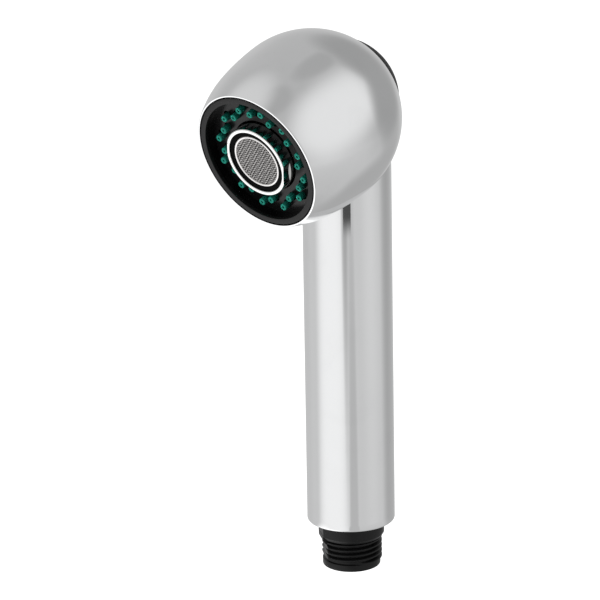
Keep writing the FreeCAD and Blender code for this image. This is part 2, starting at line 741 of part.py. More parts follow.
def boss_without_bore():
    """The boss that takes the riser, kept clear of the valve's bores and of the pressed button."""
    boss = rod("boss_rod", "boss_r", "boss_top - neck_top - face_gap", handle_frame,
               ("0", "0", "neck_top + face_gap"))
    bores = rod("boss_bore_clear", "(bore_r + barrel_r) / 2", "flange_along - barrel_rear", head_frame,
                ("0", "0", "barrel_rear"))
    button = rod("boss_button_clear", "dome_r + button_room",
                 "button_skirt_front + press_travel + button_room - dome_apex", head_frame,
                 ("0", "0", "dome_apex"))
    return cut("boss_blank", boss, [bores, button])


def valve_body():
    pieces = [turned("barrel", barrel_outline(), head_frame), boss_without_bore()]
    bores = []
    for index in range(3):
        turn = "%d" % (90 * index)
        angle = math.radians(90 * index)
        way = Vector(math.cos(angle), math.sin(angle), 0)
        across = ["gallery_turn_r * %d" % round(way.x), "gallery_turn_r * %d" % round(way.y)]
        pieces.append(rod("gallery_%d" % index, "gallery_r", "flange_along + 0.5 - gallery_rear",
                          head_frame, (across[0], across[1], "gallery_rear")))
        pieces.append(block("gallery_web_%d" % index,
                            ("gallery_turn_r - barrel_r", "gallery_r", "flange_along - gallery_rear"),
                            head_frame, ("barrel_r - 0.4", "0 - gallery_r / 2", "gallery_rear"), turn))
        bores.append(rod("gallery_bore_%d" % index, "gallery_bore",
                         FLANGE_FRONT + " + 1 - gallery_rear - gallery_feed", head_frame,
                         (across[0], across[1], "gallery_rear + gallery_feed")))
        bores.append(rod("gallery_feed_%d" % index, "gallery_feed", "gallery_turn_r - bore_r - 0.5",
                         head_frame, ("(bore_r + 0.5) * %d" % round(way.x),
                                      "(bore_r + 0.5) * %d" % round(way.y), "feed_along"), way))
    bores.append(rod("socket_cut", "riser_r + slip", "socket_top - neck_top + 1", handle_frame,
                     ("0", "0", "neck_top - 1")))
    bores.append(rod("window_cut", "window_r", "(head_height - socket_top)", head_frame,
                     ("0", "0 - (head_height - socket_top) - 0.5", WINDOW_ALONG), Vector(0, 1, 0)))
    return cut("valve_body", fused("valve_blank", pieces), bores)


def gland_cap():
    outer = "(rear_bore_r - slip)"
    groove = "(rear_bore_r - 2 * cap_seal_wire)"
    blank = turned("gland_blank", [
        ("stem_r + running", "gland_floor"),
        ("gland_pocket_r", "gland_floor"),
        ("gland_pocket_r", "gland_rear"),
        (outer, "gland_rear"),
        (outer, "cap_seal_along - cap_seal_wire - running"),
        (groove, "cap_seal_along - cap_seal_wire - running"),
        (groove, "cap_seal_along + cap_seal_wire + running"),
        (outer, "cap_seal_along + cap_seal_wire + running"),
        (outer, "chamber_along - seat_wall - face_gap"),
        (outer + " - gland_skirt", "chamber_along - seat_wall - face_gap"),
        (outer + " - gland_skirt", "gland_front"),
        ("stem_r + 2 * stem_seal_wire + 2 * running", "gland_front"),
        ("stem_r + 2 * stem_seal_wire + 2 * running", "gland_front - seal_seat"),
        ("stem_r + running", "gland_front - seal_seat"),
    ], head_frame)
    windows = []
    for index in range(4):
        angle = math.radians(90 * index)
        way = Vector(math.cos(angle), math.sin(angle), 0)
        windows.append(rod("gland_window_%d" % index, "gallery_feed + 2 * slip", "2 * gland_skirt + 1",
                           head_frame, ("(rear_bore_r - 2 * gland_skirt) * %d" % round(way.x),
                                        "(rear_bore_r - 2 * gland_skirt) * %d" % round(way.y),
                                        "feed_along"), way))
    return cut("gland_cap", blank, windows)


def cap_seal():
    return seal("cap_seal", "rear_bore_r - cap_seal_wire - running / 2", "cap_seal_wire - running / 2",
                "cap_seal_along", head_frame)


def stem_seal():
    return seal("stem_seal", "stem_r + running + stem_seal_wire", "stem_seal_wire",
                "gland_front - seal_seat / 2", head_frame)


def rear_seat_ring():
    return ring("rear_seat_ring", "seat_hole_r", "rear_bore_r - slip", "chamber_along - seat_wall",
                "chamber_along", head_frame)


# ---------------------------------------------------------------- moving valve and button

def rear_button():
    inner_arc = "(dome_arc - dome_wall)"
    centre = "(dome_apex + dome_arc)"
    skirt_r = "(dome_r - dome_wall)"

    def dome_at(arc, radius):
        return "(%s - sqrt(%s ^ 2 - (%s) ^ 2))" % (centre, arc, radius)

    return turned("rear_button", [
        ("0", "dome_apex"),
        ("dome_r", dome_at("dome_arc", "dome_r"), "dome_arc"),
        ("dome_r", "button_skirt_front"),
        (skirt_r, "button_skirt_front"),
        (skirt_r, dome_at(inner_arc, skirt_r)),
        ("gland_pocket_r", dome_at(inner_arc, "gland_pocket_r"), inner_arc),
        ("gland_pocket_r", "spring_pad"),
        ("hub_r", "spring_pad"),
        ("hub_r", "hub_front"),
        ("tip_r + running", "hub_front"),
        ("tip_r + running", "hub_floor"),
        ("0", "hub_floor"),
    ], head_frame)


def diverter_stem():
    flange_rear = SHUTTLE_REAR + " + washer_thick"
    flange_front = SHUTTLE_FRONT + " - washer_thick"
    return turned("diverter_stem", [
        ("0", "hub_floor + face_gap"),
        ("tip_r", "hub_floor + face_gap"),
        ("tip_r", "hub_front + face_gap"),
        ("stem_r", "hub_front + face_gap"),
        ("stem_r", flange_rear),
        ("stem_flange_r", flange_rear),
        ("stem_flange_r", flange_front),
        ("spigot_r", flange_front),
        ("spigot_r", "spigot_front"),
        ("0", "spigot_front"),
    ], head_frame)


def diverter_washers():
    rear = ring("rear_washer", "stem_r + running", "shuttle_r", SHUTTLE_REAR,
                SHUTTLE_REAR + " + washer_thick", head_frame)
    front = ring("front_washer", "spigot_r + running", "shuttle_r",
                 SHUTTLE_FRONT + " - washer_thick", SHUTTLE_FRONT, head_frame)
    pair = doc.addObject("Part::Compound", "diverter_washers")
    pair.Links = [rear, front]
    return pair


def return_spring():
    return coil("return_spring", "spring_r", "spring_wire", "spring_turns", "spring_pad",
                "gland_floor", head_frame)


def aerator_carrier():
    groove = "(piston_r - 2 * ring_seal_wire)"
    body = turned("aerator_carrier", [
        ("spigot_r + running", "piston_hub_rear"),
        ("piston_hub_r", "piston_hub_rear"),
        ("piston_hub_r", "piston_web_rear"),
        ("piston_bore", "piston_web_rear"),
        ("piston_bore", "piston_rear"),
        ("piston_r", "piston_rear"),
        ("piston_r", "ring_seal_along - ring_seal_wire - running"),
        (groove, "ring_seal_along - ring_seal_wire - running"),
        (groove, "ring_seal_along + ring_seal_wire + running"),
        ("piston_r", "ring_seal_along + ring_seal_wire + running"),
        ("piston_r", "head_rear"),
        (CAGE_R, "head_rear"),
        (CAGE_R, "head_front"),
        ("piston_bore", "head_front"),
        ("piston_bore", "piston_web_rear + piston_web"),
        ("spigot_r + running", "piston_web_rear + piston_web"),
    ], head_frame)
    ring_of_holes(body, "web_flow", "(piston_hub_r + piston_bore) / 2", "head_front + 1",
                  "web_hole_r", "web_holes")
    return body


def carrier_seal():
    return seal("carrier_seal", "piston_r - ring_seal_wire + running / 2", "ring_seal_wire - running / 2",
                "ring_seal_along", head_frame)


def aerator_housing():
    blank = turned("housing_blank", [
        ("housing_bore", "housing_rear"),
        ("housing_r", "housing_rear"),
        ("housing_r", "housing_front - housing_bevel"),
        ("housing_r - housing_bevel", "housing_front"),
        ("housing_mouth", "housing_front"),
        ("housing_mouth", "housing_front - housing_lip"),
        ("housing_bore", "housing_front - housing_lip"),
    ], head_frame)
    flats = [
        block("wrench_flat_%d" % side, ("housing_r", "2 * housing_r", "wrench_depth + 1"), head_frame,
              ("wrench_flat", "0 - housing_r", "housing_front - wrench_depth"),
              "wrench_turn + %d" % (180 * side))
        for side in range(2)
    ]
    return cut("aerator_housing", blank, flats)


def aerator_gasket():
    return ring("aerator_gasket", "piston_bore + 0.6", CAGE_R, "head_front + face_gap",
                "head_front + face_gap + gasket_thick", head_frame)


def aerator_cage():
    nose_rear = "housing_front - housing_lip - face_gap"
    ledge = CAGE_BORE + " - ledge_width"
    return turned("aerator_cage", [
        (CAGE_BORE, CAGE_REAR),
        (CAGE_R, CAGE_REAR),
        (CAGE_R, nose_rear),
        ("cage_nose", nose_rear),
        ("cage_nose", "cage_front"),
        (CAGE_BORE, "cage_front"),
        (CAGE_BORE, "ledge_along + ledge_thick"),
        (ledge, "ledge_along + ledge_thick"),
        (ledge, "ledge_along"),
        (CAGE_BORE, "ledge_along"),
    ], head_frame)


def aerator_core():
    front = CAGE_REAR + " + core_thick"
    body = turned("aerator_core", [
        ("0", CAGE_REAR), (CAGE_BORE + " - slip", CAGE_REAR), (CAGE_BORE + " - slip", front), ("0", front),
    ], head_frame)
    ring_of_holes(body, "jet", "jet_ring_r", front + " + 1", "jet_r", "jets")
    return body


def aerator_screen():
    rear = CAGE_REAR + " + core_thick + 2 * face_gap"
    front = rear + " + screen_thick"
    return turned("aerator_screen", [
        ("0", rear), (CAGE_BORE + " - slip", rear), (CAGE_BORE + " - slip", front), ("0", front),
    ], head_frame)


def aerator_rim():
    outer = CAGE_BORE + " - slip"
    return ring("aerator_rim", outer + " - rim_wall", outer,
                "ledge_along + ledge_thick + face_gap", "cage_front", head_frame)


def aerator_mesh():
    outer = CAGE_BORE + " - slip - rim_wall - running"
    front = "cage_front - mesh_inset"
    rear = front + " - mesh_thick"
    return turned("aerator_mesh", [("0", rear), (outer, rear), (outer, front), ("0", front)], head_frame)


# ---------------------------------------------------------------- face

def face_plate():
    body = turned("face_plate", [
        ("plate_hole", PLATE_REAR),
        ("plate_r", PLATE_REAR),
        ("plate_r", "plate_rim"),
        ("wall_r + wall_thick", "plate_rim"),
        ("wall_r + wall_thick", "wall_front"),
        ("wall_r", "wall_front"),
        ("wall_r", "plate_front"),
        ("plate_hole", "plate_front"),
    ], head_frame)
    hole = "nozzle_foot_r + slip"
    ring_of_holes(body, "inner_hole", "inner_ring_r", "wall_front + 1", hole, "nozzles")
    ring_of_holes(body, "outer_hole", "outer_ring_r", "wall_front + 1", hole, "nozzles", "180 / nozzles")
    return body


def nozzle_ring(body, name, across, turn):
    """One ring of hollow tapered nozzles on the mat."""
    doc.recompute()
    length = "nozzle_front - %s" % MAT_FRONT
    pad = body.newObject("PartDesign::Pad", name)
    pad.Profile = circle_sketch(body, name + "_circle", across, MAT_FRONT, "nozzle_foot_r", turn)
    pad.setExpression("Length", bound(length))
    taper = "-1 * atan((nozzle_foot_r - nozzle_tip_r) / (%s))" % length
    pad.setExpression("TaperAngle", bound(taper))
    doc.recompute()
    repeated(body, pad, "nozzles")
    ring_of_holes(body, name + "_hole", across, "nozzle_front + 1", "nozzle_hole_r", "nozzles", turn)


def nozzle_mat():
    body = ring("nozzle_mat", "mat_inner", "mat_outer", MAT_REAR, MAT_FRONT, head_frame)
    nozzle_ring(body, "inner_nozzle", "inner_ring_r", "0")
    nozzle_ring(body, "outer_nozzle", "outer_ring_r", "180 / nozzles")
    return body


def bumper_ring():
    return turned("bumper_ring", [
        ("wall_r + wall_thick + slip", "plate_rim + face_gap"),
        ("bumper_r", "plate_rim + face_gap"),
        ("bumper_r", "rim_along - running"),
        ("wall_r", "rim_along - running"),
        ("wall_r", "rim_along - running - bumper_thick"),
        ("wall_r + wall_thick + slip", "rim_along - running - bumper_thick"),
    ], head_frame)


SUBPARTS = [
    head_shell, handle_sleeve, inlet_tube, riser_washer, inlet_filter,
    check_valve_body, check_valve_guide, check_valve_poppet, check_valve_seal, check_valve_spring,
    valve_body, gland_cap, cap_seal, stem_seal, rear_seat_ring,
    rear_button, diverter_stem, diverter_washers, return_spring, aerator_carrier, carrier_seal,
    aerator_housing, aerator_gasket, aerator_cage, aerator_core, aerator_screen, aerator_rim,
    aerator_mesh, face_plate, nozzle_mat, bumper_ring,
]


def check_document():
    """Stops when any object of the document failed."""
    for item in doc.Objects:
        for word in item.State:
            if word in ("Invalid", "Error"):
                raise RuntimeError("%s is %s" % (item.Name, word))


def write_subparts():
    fill_sheet()
    finished = []
    for make in SUBPARTS:
        piece = make()
        piece.Label = make.__name__
        finished.append(piece)
    doc.recompute()
    check_document()
    for piece in finished:
        if piece.Shape.isNull() or not piece.Shape.isValid():
            raise RuntimeError("%s has no valid shape" % piece.Label)
    os.makedirs("parts", exist_ok=True)
    for piece in finished:
        piece.Shape.exportStep("parts/%s.step" % piece.Label)
        print("%-20s solids %d volume %.1f" % (piece.Label, len(piece.Shape.Solids), piece.Shape.Volume))


write_subparts()
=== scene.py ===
"""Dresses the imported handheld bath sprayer: chrome shells, moulded plastic, soft nozzles and woven wire."""

from __future__ import annotations

import json
import logging
import math
from dataclasses import dataclass, field
from enum import Enum
from typing import Callable

import bpy
import numpy as np
from mathutils import Matrix, Vector

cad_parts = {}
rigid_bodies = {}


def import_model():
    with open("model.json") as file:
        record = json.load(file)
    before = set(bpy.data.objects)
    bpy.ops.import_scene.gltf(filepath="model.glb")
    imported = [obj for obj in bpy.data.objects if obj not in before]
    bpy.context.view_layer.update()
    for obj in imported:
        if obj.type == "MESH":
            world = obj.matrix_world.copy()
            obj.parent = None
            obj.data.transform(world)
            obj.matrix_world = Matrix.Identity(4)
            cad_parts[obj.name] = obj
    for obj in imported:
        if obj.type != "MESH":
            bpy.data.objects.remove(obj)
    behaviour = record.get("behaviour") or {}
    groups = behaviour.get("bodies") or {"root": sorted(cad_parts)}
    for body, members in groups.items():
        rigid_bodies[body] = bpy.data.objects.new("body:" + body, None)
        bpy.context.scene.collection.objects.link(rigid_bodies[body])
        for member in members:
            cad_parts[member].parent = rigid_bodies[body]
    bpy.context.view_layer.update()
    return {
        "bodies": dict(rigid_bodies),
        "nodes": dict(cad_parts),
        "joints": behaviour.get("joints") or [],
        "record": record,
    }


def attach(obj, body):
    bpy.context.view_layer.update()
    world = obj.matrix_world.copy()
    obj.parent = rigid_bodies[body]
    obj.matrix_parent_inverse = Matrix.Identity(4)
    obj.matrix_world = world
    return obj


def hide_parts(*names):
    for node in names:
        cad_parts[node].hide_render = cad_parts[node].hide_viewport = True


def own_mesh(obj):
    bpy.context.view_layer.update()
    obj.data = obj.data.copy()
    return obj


LOG = logging.getLogger("bath_sprayer")
MM = 0.001
POLE_WIDTH = 1e-7
VIEW_AZIMUTH = math.radians(42.21)
HEAD_HEIGHT = 167.5
HEAD_TILT = 17.5

Point = tuple[float, float]
Colour = tuple[float, float, float]
Shape = Callable[[np.ndarray], np.ndarray]


class Body(Enum):
    """The rigid bodies that the visible pieces ride on."""

    HANDSET = "handset"
    DIVERTER = "diverter"


# ---------------------------------------------------------------- node trees


class Graph:
    """Adds and joins the nodes of one tree."""

    def __init__(self, tree: bpy.types.NodeTree) -> None:
        """Takes the tree to add to.

        Args:
            tree: a material's, a world's or a group's node tree.
        """
        self.tree = tree

    def add(self, kind: str, inputs: dict | None = None, **settings: object) -> bpy.types.Node:
        """Adds one node.

        Args:
            kind: the node's type name.
            inputs: values or sockets by input name or number.
            **settings: the node's own properties.

        Returns:
            The new node.
        """
        node = self.tree.nodes.new(kind)
        for key, value in settings.items():
            setattr(node, key, value)
        for key, value in (inputs or {}).items():
            if isinstance(value, bpy.types.NodeSocket):
                self.tree.links.new(value, node.inputs[key])
            else:
                node.inputs[key].default_value = value
        return node

    def math(self, operation: str, *values: object, clamp: bool = False) -> bpy.types.NodeSocket:
        """Adds a Math node.

        Args:
            operation: the Math operation.
            *values: its inputs in order, each a number or a socket.
            clamp: whether the result is held between 0 and 1.

        Returns:
            The node's result.
        """
        inputs = dict(enumerate(values))
        return self.add("ShaderNodeMath", inputs, operation=operation, use_clamp=clamp).outputs[0]

    def vector(self, operation: str, *values: object, output: str = "Vector") -> bpy.types.NodeSocket:
        """Adds a Vector Math node.

        Args:
            operation: the Vector Math operation.
            *values: its inputs in order, each a vector or a socket.
            output: the output to return.

        Returns:
            The node's result.
        """
        node = self.add("ShaderNodeVectorMath", dict(enumerate(values)), operation=operation)
        return node.outputs[output]

    def ramp(self, factor: bpy.types.NodeSocket, stops: list[tuple[float, float]]) -> bpy.types.NodeSocket:
        """Adds a grey Color Ramp.

        Args:
            factor: what drives the ramp.
            stops: places and grey levels along it.

        Returns:
            The ramp's colour.
        """
        node = self.add("ShaderNodeValToRGB", {0: factor})
        marks = node.color_ramp.elements
        while len(marks) < len(stops):
            marks.new(0.5)
        for mark, (place, grey) in zip(marks, stops):
            mark.position = place
            mark.color = (grey, grey, grey, 1.0)
        return node.outputs[0]


def empty_graph(owner: bpy.types.Material | bpy.types.World) -> Graph:
    """Gives a new material or world an empty node tree.

    Args:
        owner: the material or world.

    Returns:
        The empty tree's graph.
    """
    owner.use_nodes = True
    owner.node_tree.nodes.clear()
    return Graph(owner.node_tree)


def effect_group(name: str, inputs: dict[str, float],
                 outputs: list[str]) -> tuple[Graph, bpy.types.Node, bpy.types.Node]:
    """Starts a shared shader group with named number sockets.

    Args:
        name: the group's name.
        inputs: the input names with their defaults.
        outputs: the output names.

    Returns:
        The group's graph, its input node and its output node.
    """
    tree = bpy.data.node_groups.new(name, "ShaderNodeTree")
    for label, value in inputs.items():
        socket = tree.interface.new_socket(label, in_out="INPUT", socket_type="NodeSocketFloat")
        socket.default_value = value
    for label in outputs:
        tree.interface.new_socket(label, in_out="OUTPUT", socket_type="NodeSocketFloat")
    graph = Graph(tree)
    return graph, graph.add("NodeGroupInput"), graph.add("NodeGroupOutput")


class Effects:
    """The surface effects that several finishes share.

    Attributes:
        hair_scale: hairlines to the metre.
        hair_ways: each family's turn and how much longer than wide its lines are.
        hair_patch: scale of the patches that hold hairlines.
        hair_cut: noise level above which a patch holds them.
        grain_share: the fine noise's share of the grain, the rest being cells.
    """

    hair_scale: float = 420.0
    hair_ways: tuple[Point, ...] = ((0.4, 9.0), (1.3, 14.0), (2.5, 11.0))
    hair_patch: float = 0.13
    hair_cut: float = 0.56
    grain_share: float = 0.7

    def __init__(self) -> None:
        """Builds each shared group once."""
        self.scratches = self._scratches()
        self.smudges = self._smudges()
        self.grain = self._grain()

    def _scratches(self) -> bpy.types.NodeTree:
        """Makes hairline scratches in three directions.

        Returns:
            The group, which gives a mask and a height.
        """
        sizes = {"Scale": 1.0, "Width": 0.02}
        graph, given, made = effect_group("hairline_scratches", sizes, ["Mask", "Height"])
        place = graph.add("ShaderNodeTexCoord").outputs["Object"]
        total: bpy.types.NodeSocket | None = None
        wide = self.hair_scale
        for turn, stretch in self.hair_ways:
            mapped = graph.add("ShaderNodeMapping", {
                0: place, "Rotation": (turn, turn * 1.7, turn * 0.6), "Scale": (wide, wide / stretch, wide)})
            noise = graph.add("ShaderNodeTexNoise", {
                "Vector": mapped.outputs[0], "Scale": given.outputs["Scale"], "Detail": 2.0,
                "Roughness": 0.45})
            offset = graph.math("ABSOLUTE", graph.math("SUBTRACT", noise.outputs[0], 0.5))
            share = graph.math("DIVIDE", offset, given.outputs["Width"])
            line = graph.math("SUBTRACT", 1.0, share, clamp=True)
            patch = graph.add("ShaderNodeTexNoise", {
                "Vector": mapped.outputs[0], "Scale": self.hair_patch, "Detail": 1.0})
            part = graph.math("MULTIPLY", line, graph.math("GREATER_THAN", patch.outputs[0], self.hair_cut))
            total = part if total is None else graph.math("MAXIMUM", total, part)
        graph.tree.links.new(total, made.inputs["Mask"])
        graph.tree.links.new(graph.math("MULTIPLY", total, -1.0), made.inputs["Height"])
        return graph.tree

    def _smudges(self) -> bpy.types.NodeTree:
        """Makes broad uneven patches where hands and water leave a film.

        Returns:
            The group, which gives a mask.
        """
        sizes = {"Scale": 60.0, "Low": 0.48, "High": 0.7}
        graph, given, made = effect_group("handling_film", sizes, ["Mask"])
        place = graph.add("ShaderNodeTexCoord").outputs["Object"]
        noise = graph.add("ShaderNodeTexNoise", {
            "Vector": place, "Scale": given.outputs["Scale"], "Detail": 5.0, "Roughness": 0.55,
            "Distortion": 0.6})
        shaped = graph.add("ShaderNodeMapRange", {
            "Value": noise.outputs[0], "From Min": given.outputs["Low"], "From Max": given.outputs["High"],
        }, interpolation_type="SMOOTHSTEP")
        graph.tree.links.new(shaped.outputs[0], made.inputs["Mask"])
        return graph.tree

    def _grain(self) -> bpy.types.NodeTree:
        """Makes fine moulded grain with a slow change of tone.

        Returns:
            The group, which gives a height and a tone.
        """
        sizes = {"Scale": 2600.0, "Drift": 90.0}
        graph, given, made = effect_group("moulded_grain", sizes, ["Height", "Tone"])
        place = graph.add("ShaderNodeTexCoord").outputs["Object"]
        fine = graph.add("ShaderNodeTexNoise", {
            "Vector": place, "Scale": given.outputs["Scale"], "Detail": 3.0, "Roughness": 0.6})
        cells = graph.add("ShaderNodeTexVoronoi", {
            "Vector": place, "Scale": given.outputs["Scale"]}, feature="SMOOTH_F1")
        slow = graph.add("ShaderNodeTexNoise", {
            "Vector": place, "Scale": given.outputs["Drift"], "Detail": 4.0})
        height = graph.math("ADD", graph.math("MULTIPLY", fine.outputs[0], self.grain_share),
                            graph.math("MULTIPLY", cells.outputs[0], 1.0 - self.grain_share))
        graph.tree.links.new(height, made.inputs["Height"])
        graph.tree.links.new(slow.outputs[0], made.inputs["Tone"])
        return graph.tree


@dataclass(frozen=True)
class Finish:
    """A finish made of one Principled shader that shared effects vary.

    Attributes:
        name: the material's name.
        colour: the main linear colour.
        film_and_lit_colour: the linear colour where the film or drift shows; along the spray axis of the teal
            it is also the lit end that the painted shade fades into.
        metallic: 0 for plastic, 1 for metal.
        roughness: lowest and highest roughness.
        grain: how deep the fine grain stands, in metres.
        grain_scale: grain cells to the metre.
        scratch: how strongly the hairlines roughen.
        film: how strongly the film shows.
        specular: the shader's specular level.
        soft: weight of scattering under the surface.
        soft_depth: how far light scatters there, in millimetres.
        painted_shade_span: where along the spray axis, in millimetres, the painted shade of the main colour
            starts to fade into the second colour and where that is fully reached.
    """

    name: str
    colour: Colour
    film_and_lit_colour: Colour
    metallic: float = 0.0
    roughness: Point = (0.3, 0.5)
    grain: float = 0.0
    grain_scale: float = 2600.0
    scratch: float = 0.1
    film: float = 0.3
    specular: float = 0.5
    soft: float = 0.0
    soft_depth: float = 0.6
    painted_shade_span: Point | None = None

    def build(self, effects: Effects) -> bpy.types.Material:
        """Makes the material.

        Args:
            effects: the shared groups.

        Returns:
            The finished material.
        """
        material = bpy.data.materials.new(self.name)
        graph = empty_graph(material)
        shader = graph.add("ShaderNodeBsdfPrincipled", {
            "Metallic": self.metallic, "Specular IOR Level": self.specular})
        if self.soft:
            shader.inputs["Subsurface Weight"].default_value = self.soft
            shader.inputs["Subsurface Radius"].default_value = (1.0, 1.0, 1.0)
            shader.inputs["Subsurface Scale"].default_value = self.soft_depth * MM
        out = graph.add("ShaderNodeOutputMaterial")
        graph.tree.links.new(shader.outputs[0], out.inputs["Surface"])
        film = graph.add("ShaderNodeGroup", node_tree=effects.smudges)
        lines = graph.add("ShaderNodeGroup", node_tree=effects.scratches)
        grain = graph.add("ShaderNodeGroup", {"Scale": self.grain_scale}, node_tree=effects.grain)
        shown = graph.math("MULTIPLY", film.outputs["Mask"], self.film)
        drift = graph.math("MULTIPLY", graph.math("SUBTRACT", grain.outputs["Tone"], 0.5), 0.5)
        blend = graph.math("ADD", shown, drift, clamp=True)
        # Painted shade: the colour darkens from the tips down to the feet along the spray axis, where shade
        # falls in the recess.
        if self.painted_shade_span:
            start, end = (place * MM for place in self.painted_shade_span)
            spot = graph.vector("SUBTRACT", graph.add("ShaderNodeTexCoord").outputs["Object"],
                                HEAD.translation * MM)
            along = graph.vector("DOT_PRODUCT", spot, HEAD.col[2].to_3d(), output="Value")
            tip = graph.math("DIVIDE", graph.math("SUBTRACT", along, start), end - start, clamp=True)
            fade = graph.math("MULTIPLY", blend, 0.3)
            blend = graph.math("MULTIPLY", tip, graph.math("SUBTRACT", 1.0, fade))
        mixed = graph.add("ShaderNodeMix", data_type="RGBA")
        mixed.inputs[6].default_value = (*self.colour, 1.0)
        mixed.inputs[7].default_value = (*self.film_and_lit_colour, 1.0)
        graph.tree.links.new(blend, mixed.inputs[0])
        graph.tree.links.new(mixed.outputs[2], shader.inputs["Base Color"])
        low, high = self.roughness
        hairs = graph.math("MULTIPLY", lines.outputs["Mask"], self.scratch)
        worn = graph.math("ADD", blend, hairs, clamp=True)
        rough = graph.math("ADD", low, graph.math("MULTIPLY", worn, high - low))
        graph.tree.links.new(rough, shader.inputs["Roughness"])
        if self.grain:
            bump = graph.add("ShaderNodeBump", {"Height": grain.outputs["Height"], "Strength": 1.0,
                                                "Distance": self.grain})
            graph.tree.links.new(bump.outputs[0], shader.inputs["Normal"])
        return material


class Finishes:
    """Every finish of the sprayer, by the name of its place in the record."""

    CHROME = Finish("bright_chrome", (0.86, 0.865, 0.87), (0.78, 0.785, 0.79), metallic=1.0,
                    roughness=(0.045, 0.14), scratch=0.12, film=0.16)
    SATIN = Finish("polished_chrome", (0.90, 0.90, 0.89), (0.80, 0.80, 0.79), metallic=1.0,
                   roughness=(0.07, 0.18), scratch=0.2, film=0.25)
    BLACK = Finish("black_plastic", (0.0045, 0.0046, 0.0048), (0.0085, 0.0085, 0.0088),
                   roughness=(0.34, 0.52), grain=0.00003, scratch=0.25, film=0.35, specular=0.25)
    GLOSS = Finish("gloss_black", (0.0030, 0.0030, 0.0032), (0.0060, 0.0058, 0.0060),
                   roughness=(0.24, 0.38), scratch=0.3, specular=0.22)
    RING = Finish("dark_grey_plastic", (0.0075, 0.0073, 0.0075), (0.0120, 0.0118, 0.0120),
                  roughness=(0.34, 0.48), grain=0.00003, specular=0.2)
    MATT = Finish("matt_black", (0.0024, 0.0024, 0.0025), (0.0044, 0.0044, 0.0045),
                  roughness=(0.6, 0.75), grain=0.00002, specular=0.03)
    BUTTON = Finish("button_black", (0.0050, 0.0050, 0.0052), (0.0090, 0.0090, 0.0092),
                    roughness=(0.42, 0.55), grain=0.00002, film=0.35, specular=0.12)
    RUBBER = Finish("black_rubber", (0.014, 0.014, 0.014), (0.026, 0.026, 0.026),
                    roughness=(0.55, 0.75), grain=0.00005)
    # Teal silicone: the main colour is painted shade over the mat and the nozzle feet, fading into the
    # brighter second colour towards the nozzle tips.
    TEAL = Finish("teal_silicone", (0.001, 0.050, 0.038), (0.014, 0.235, 0.175),
                  roughness=(0.42, 0.6), grain=0.00002, soft=0.12, specular=0.2, painted_shade_span=(42.0, 44.4))
    INNER = Finish("inner_plastic", (0.30, 0.31, 0.32), (0.24, 0.25, 0.26),
                   roughness=(0.35, 0.5), grain=0.00003)
    PALE = Finish("pale_plastic", (0.62, 0.61, 0.57), (0.52, 0.51, 0.47),
                  roughness=(0.3, 0.45), grain=0.00002)
    SPRING = Finish("spring_steel", (0.56, 0.55, 0.53), (0.42, 0.41, 0.40), metallic=1.0,
                    roughness=(0.2, 0.35))
    STEEL = Finish("steel_wire", (0.84, 0.82, 0.81), (0.52, 0.51, 0.50), metallic=1.0,
                   roughness=(0.22, 0.38))
    BRASS = Finish("brass", (0.72, 0.50, 0.20), (0.55, 0.36, 0.14), metallic=1.0,
                   roughness=(0.2, 0.35))

    SLOTS = {
        "chrome_shell": CHROME, "chrome_housing": SATIN, "black_plastic": BLACK, "gloss_black": GLOSS,
        "dark_grey_plastic": RING, "black_rubber": RUBBER, "teal_silicone": TEAL, "inner_plastic": INNER,
        "pale_plastic": PALE, "spring_steel": SPRING, "steel_mesh": STEEL, "brass": BRASS,
    }
    EXTRA = {"matt_black": MATT, "button_black": BUTTON}
    CARRIED = {"aerator_screen": "matt_black", "aerator_core": "matt_black"}

    def __init__(self) -> None:
        """Builds each material once."""
        effects = Effects()
        every = {**self.SLOTS, **self.EXTRA}
        self.made = {slot: finish.build(effects) for slot, finish in every.items()}

    def __getitem__(self, slot: str) -> bpy.types.Material:
        """The material of a slot."""
        return self.made[slot]


# ---------------------------------------------------------------- mesh tools


@dataclass
class Outline:
    """A closed half-section, as radius and height pairs with a corner radius at each."""

    points: list[Point] = field(default_factory=list)
    soft: list[float] = field(default_factory=list)

    def to(self, r: float, s: float, soft: float = 0.0) -> "Outline":
        """Adds a corner.

        Args:
            r: radius in millimetres.
            s: height in millimetres.
            soft: the corner's rounding radius.

        Returns:
            The outline, for the next call.
        """
        self.points.append((r, s))
        self.soft.append(soft)
        return self

    def arc(self, centre: Point, end: Point, steps: int) -> "Outline":
        """Adds an arc from the last corner the short way round.

        Args:
            centre: the arc's centre.
            end: where it ends.
            steps: how many spans it has.

        Returns:
            The outline, for the next call.
        """
        r0, s0 = self.points[-1]
        a0 = math.atan2(s0 - centre[1], r0 - centre[0])
        a1 = math.atan2(end[1] - centre[1], end[0] - centre[0])
        sweep = (a1 - a0 + math.pi) % (2 * math.pi) - math.pi
        size0 = math.hypot(r0 - centre[0], s0 - centre[1])
        size1 = math.hypot(end[0] - centre[0], end[1] - centre[1])
        for i in range(1, steps + 1):
            part = i / steps
            angle, size = a0 + sweep * part, size0 + (size1 - size0) * part
            self.to(centre[0] + size * math.cos(angle), centre[1] + size * math.sin(angle))
        return self

    def rounded(self, spans: int = 4) -> np.ndarray:
        """The outline with its soft corners rounded.

        Args:
            spans: how many spans each rounding has.

        Returns:
            The points, one row each.
        """
        made: list[np.ndarray] = []
        count = len(self.points)
        for i, (point, soft) in enumerate(zip(self.points, self.soft)):
            here = np.array(point)
            if soft <= 0:
                made.append(here)
                continue
            back = np.array(self.points[i - 1]) - here
            ahead = np.array(self.points[(i + 1) % count]) - here
            room = 0.49 * min(np.linalg.norm(back), np.linalg.norm(ahead))
            back, ahead = back / np.linalg.norm(back), ahead / np.linalg.norm(ahead)
            half = math.acos(float(np.clip(back @ ahead, -1, 1))) / 2
            cut = min(soft / math.tan(half), room)
            for k in range(spans + 1):
                t = k / spans
                made.append(here + back * cut * (1 - t) ** 2 + ahead * cut * t ** 2)
        return np.array(made)


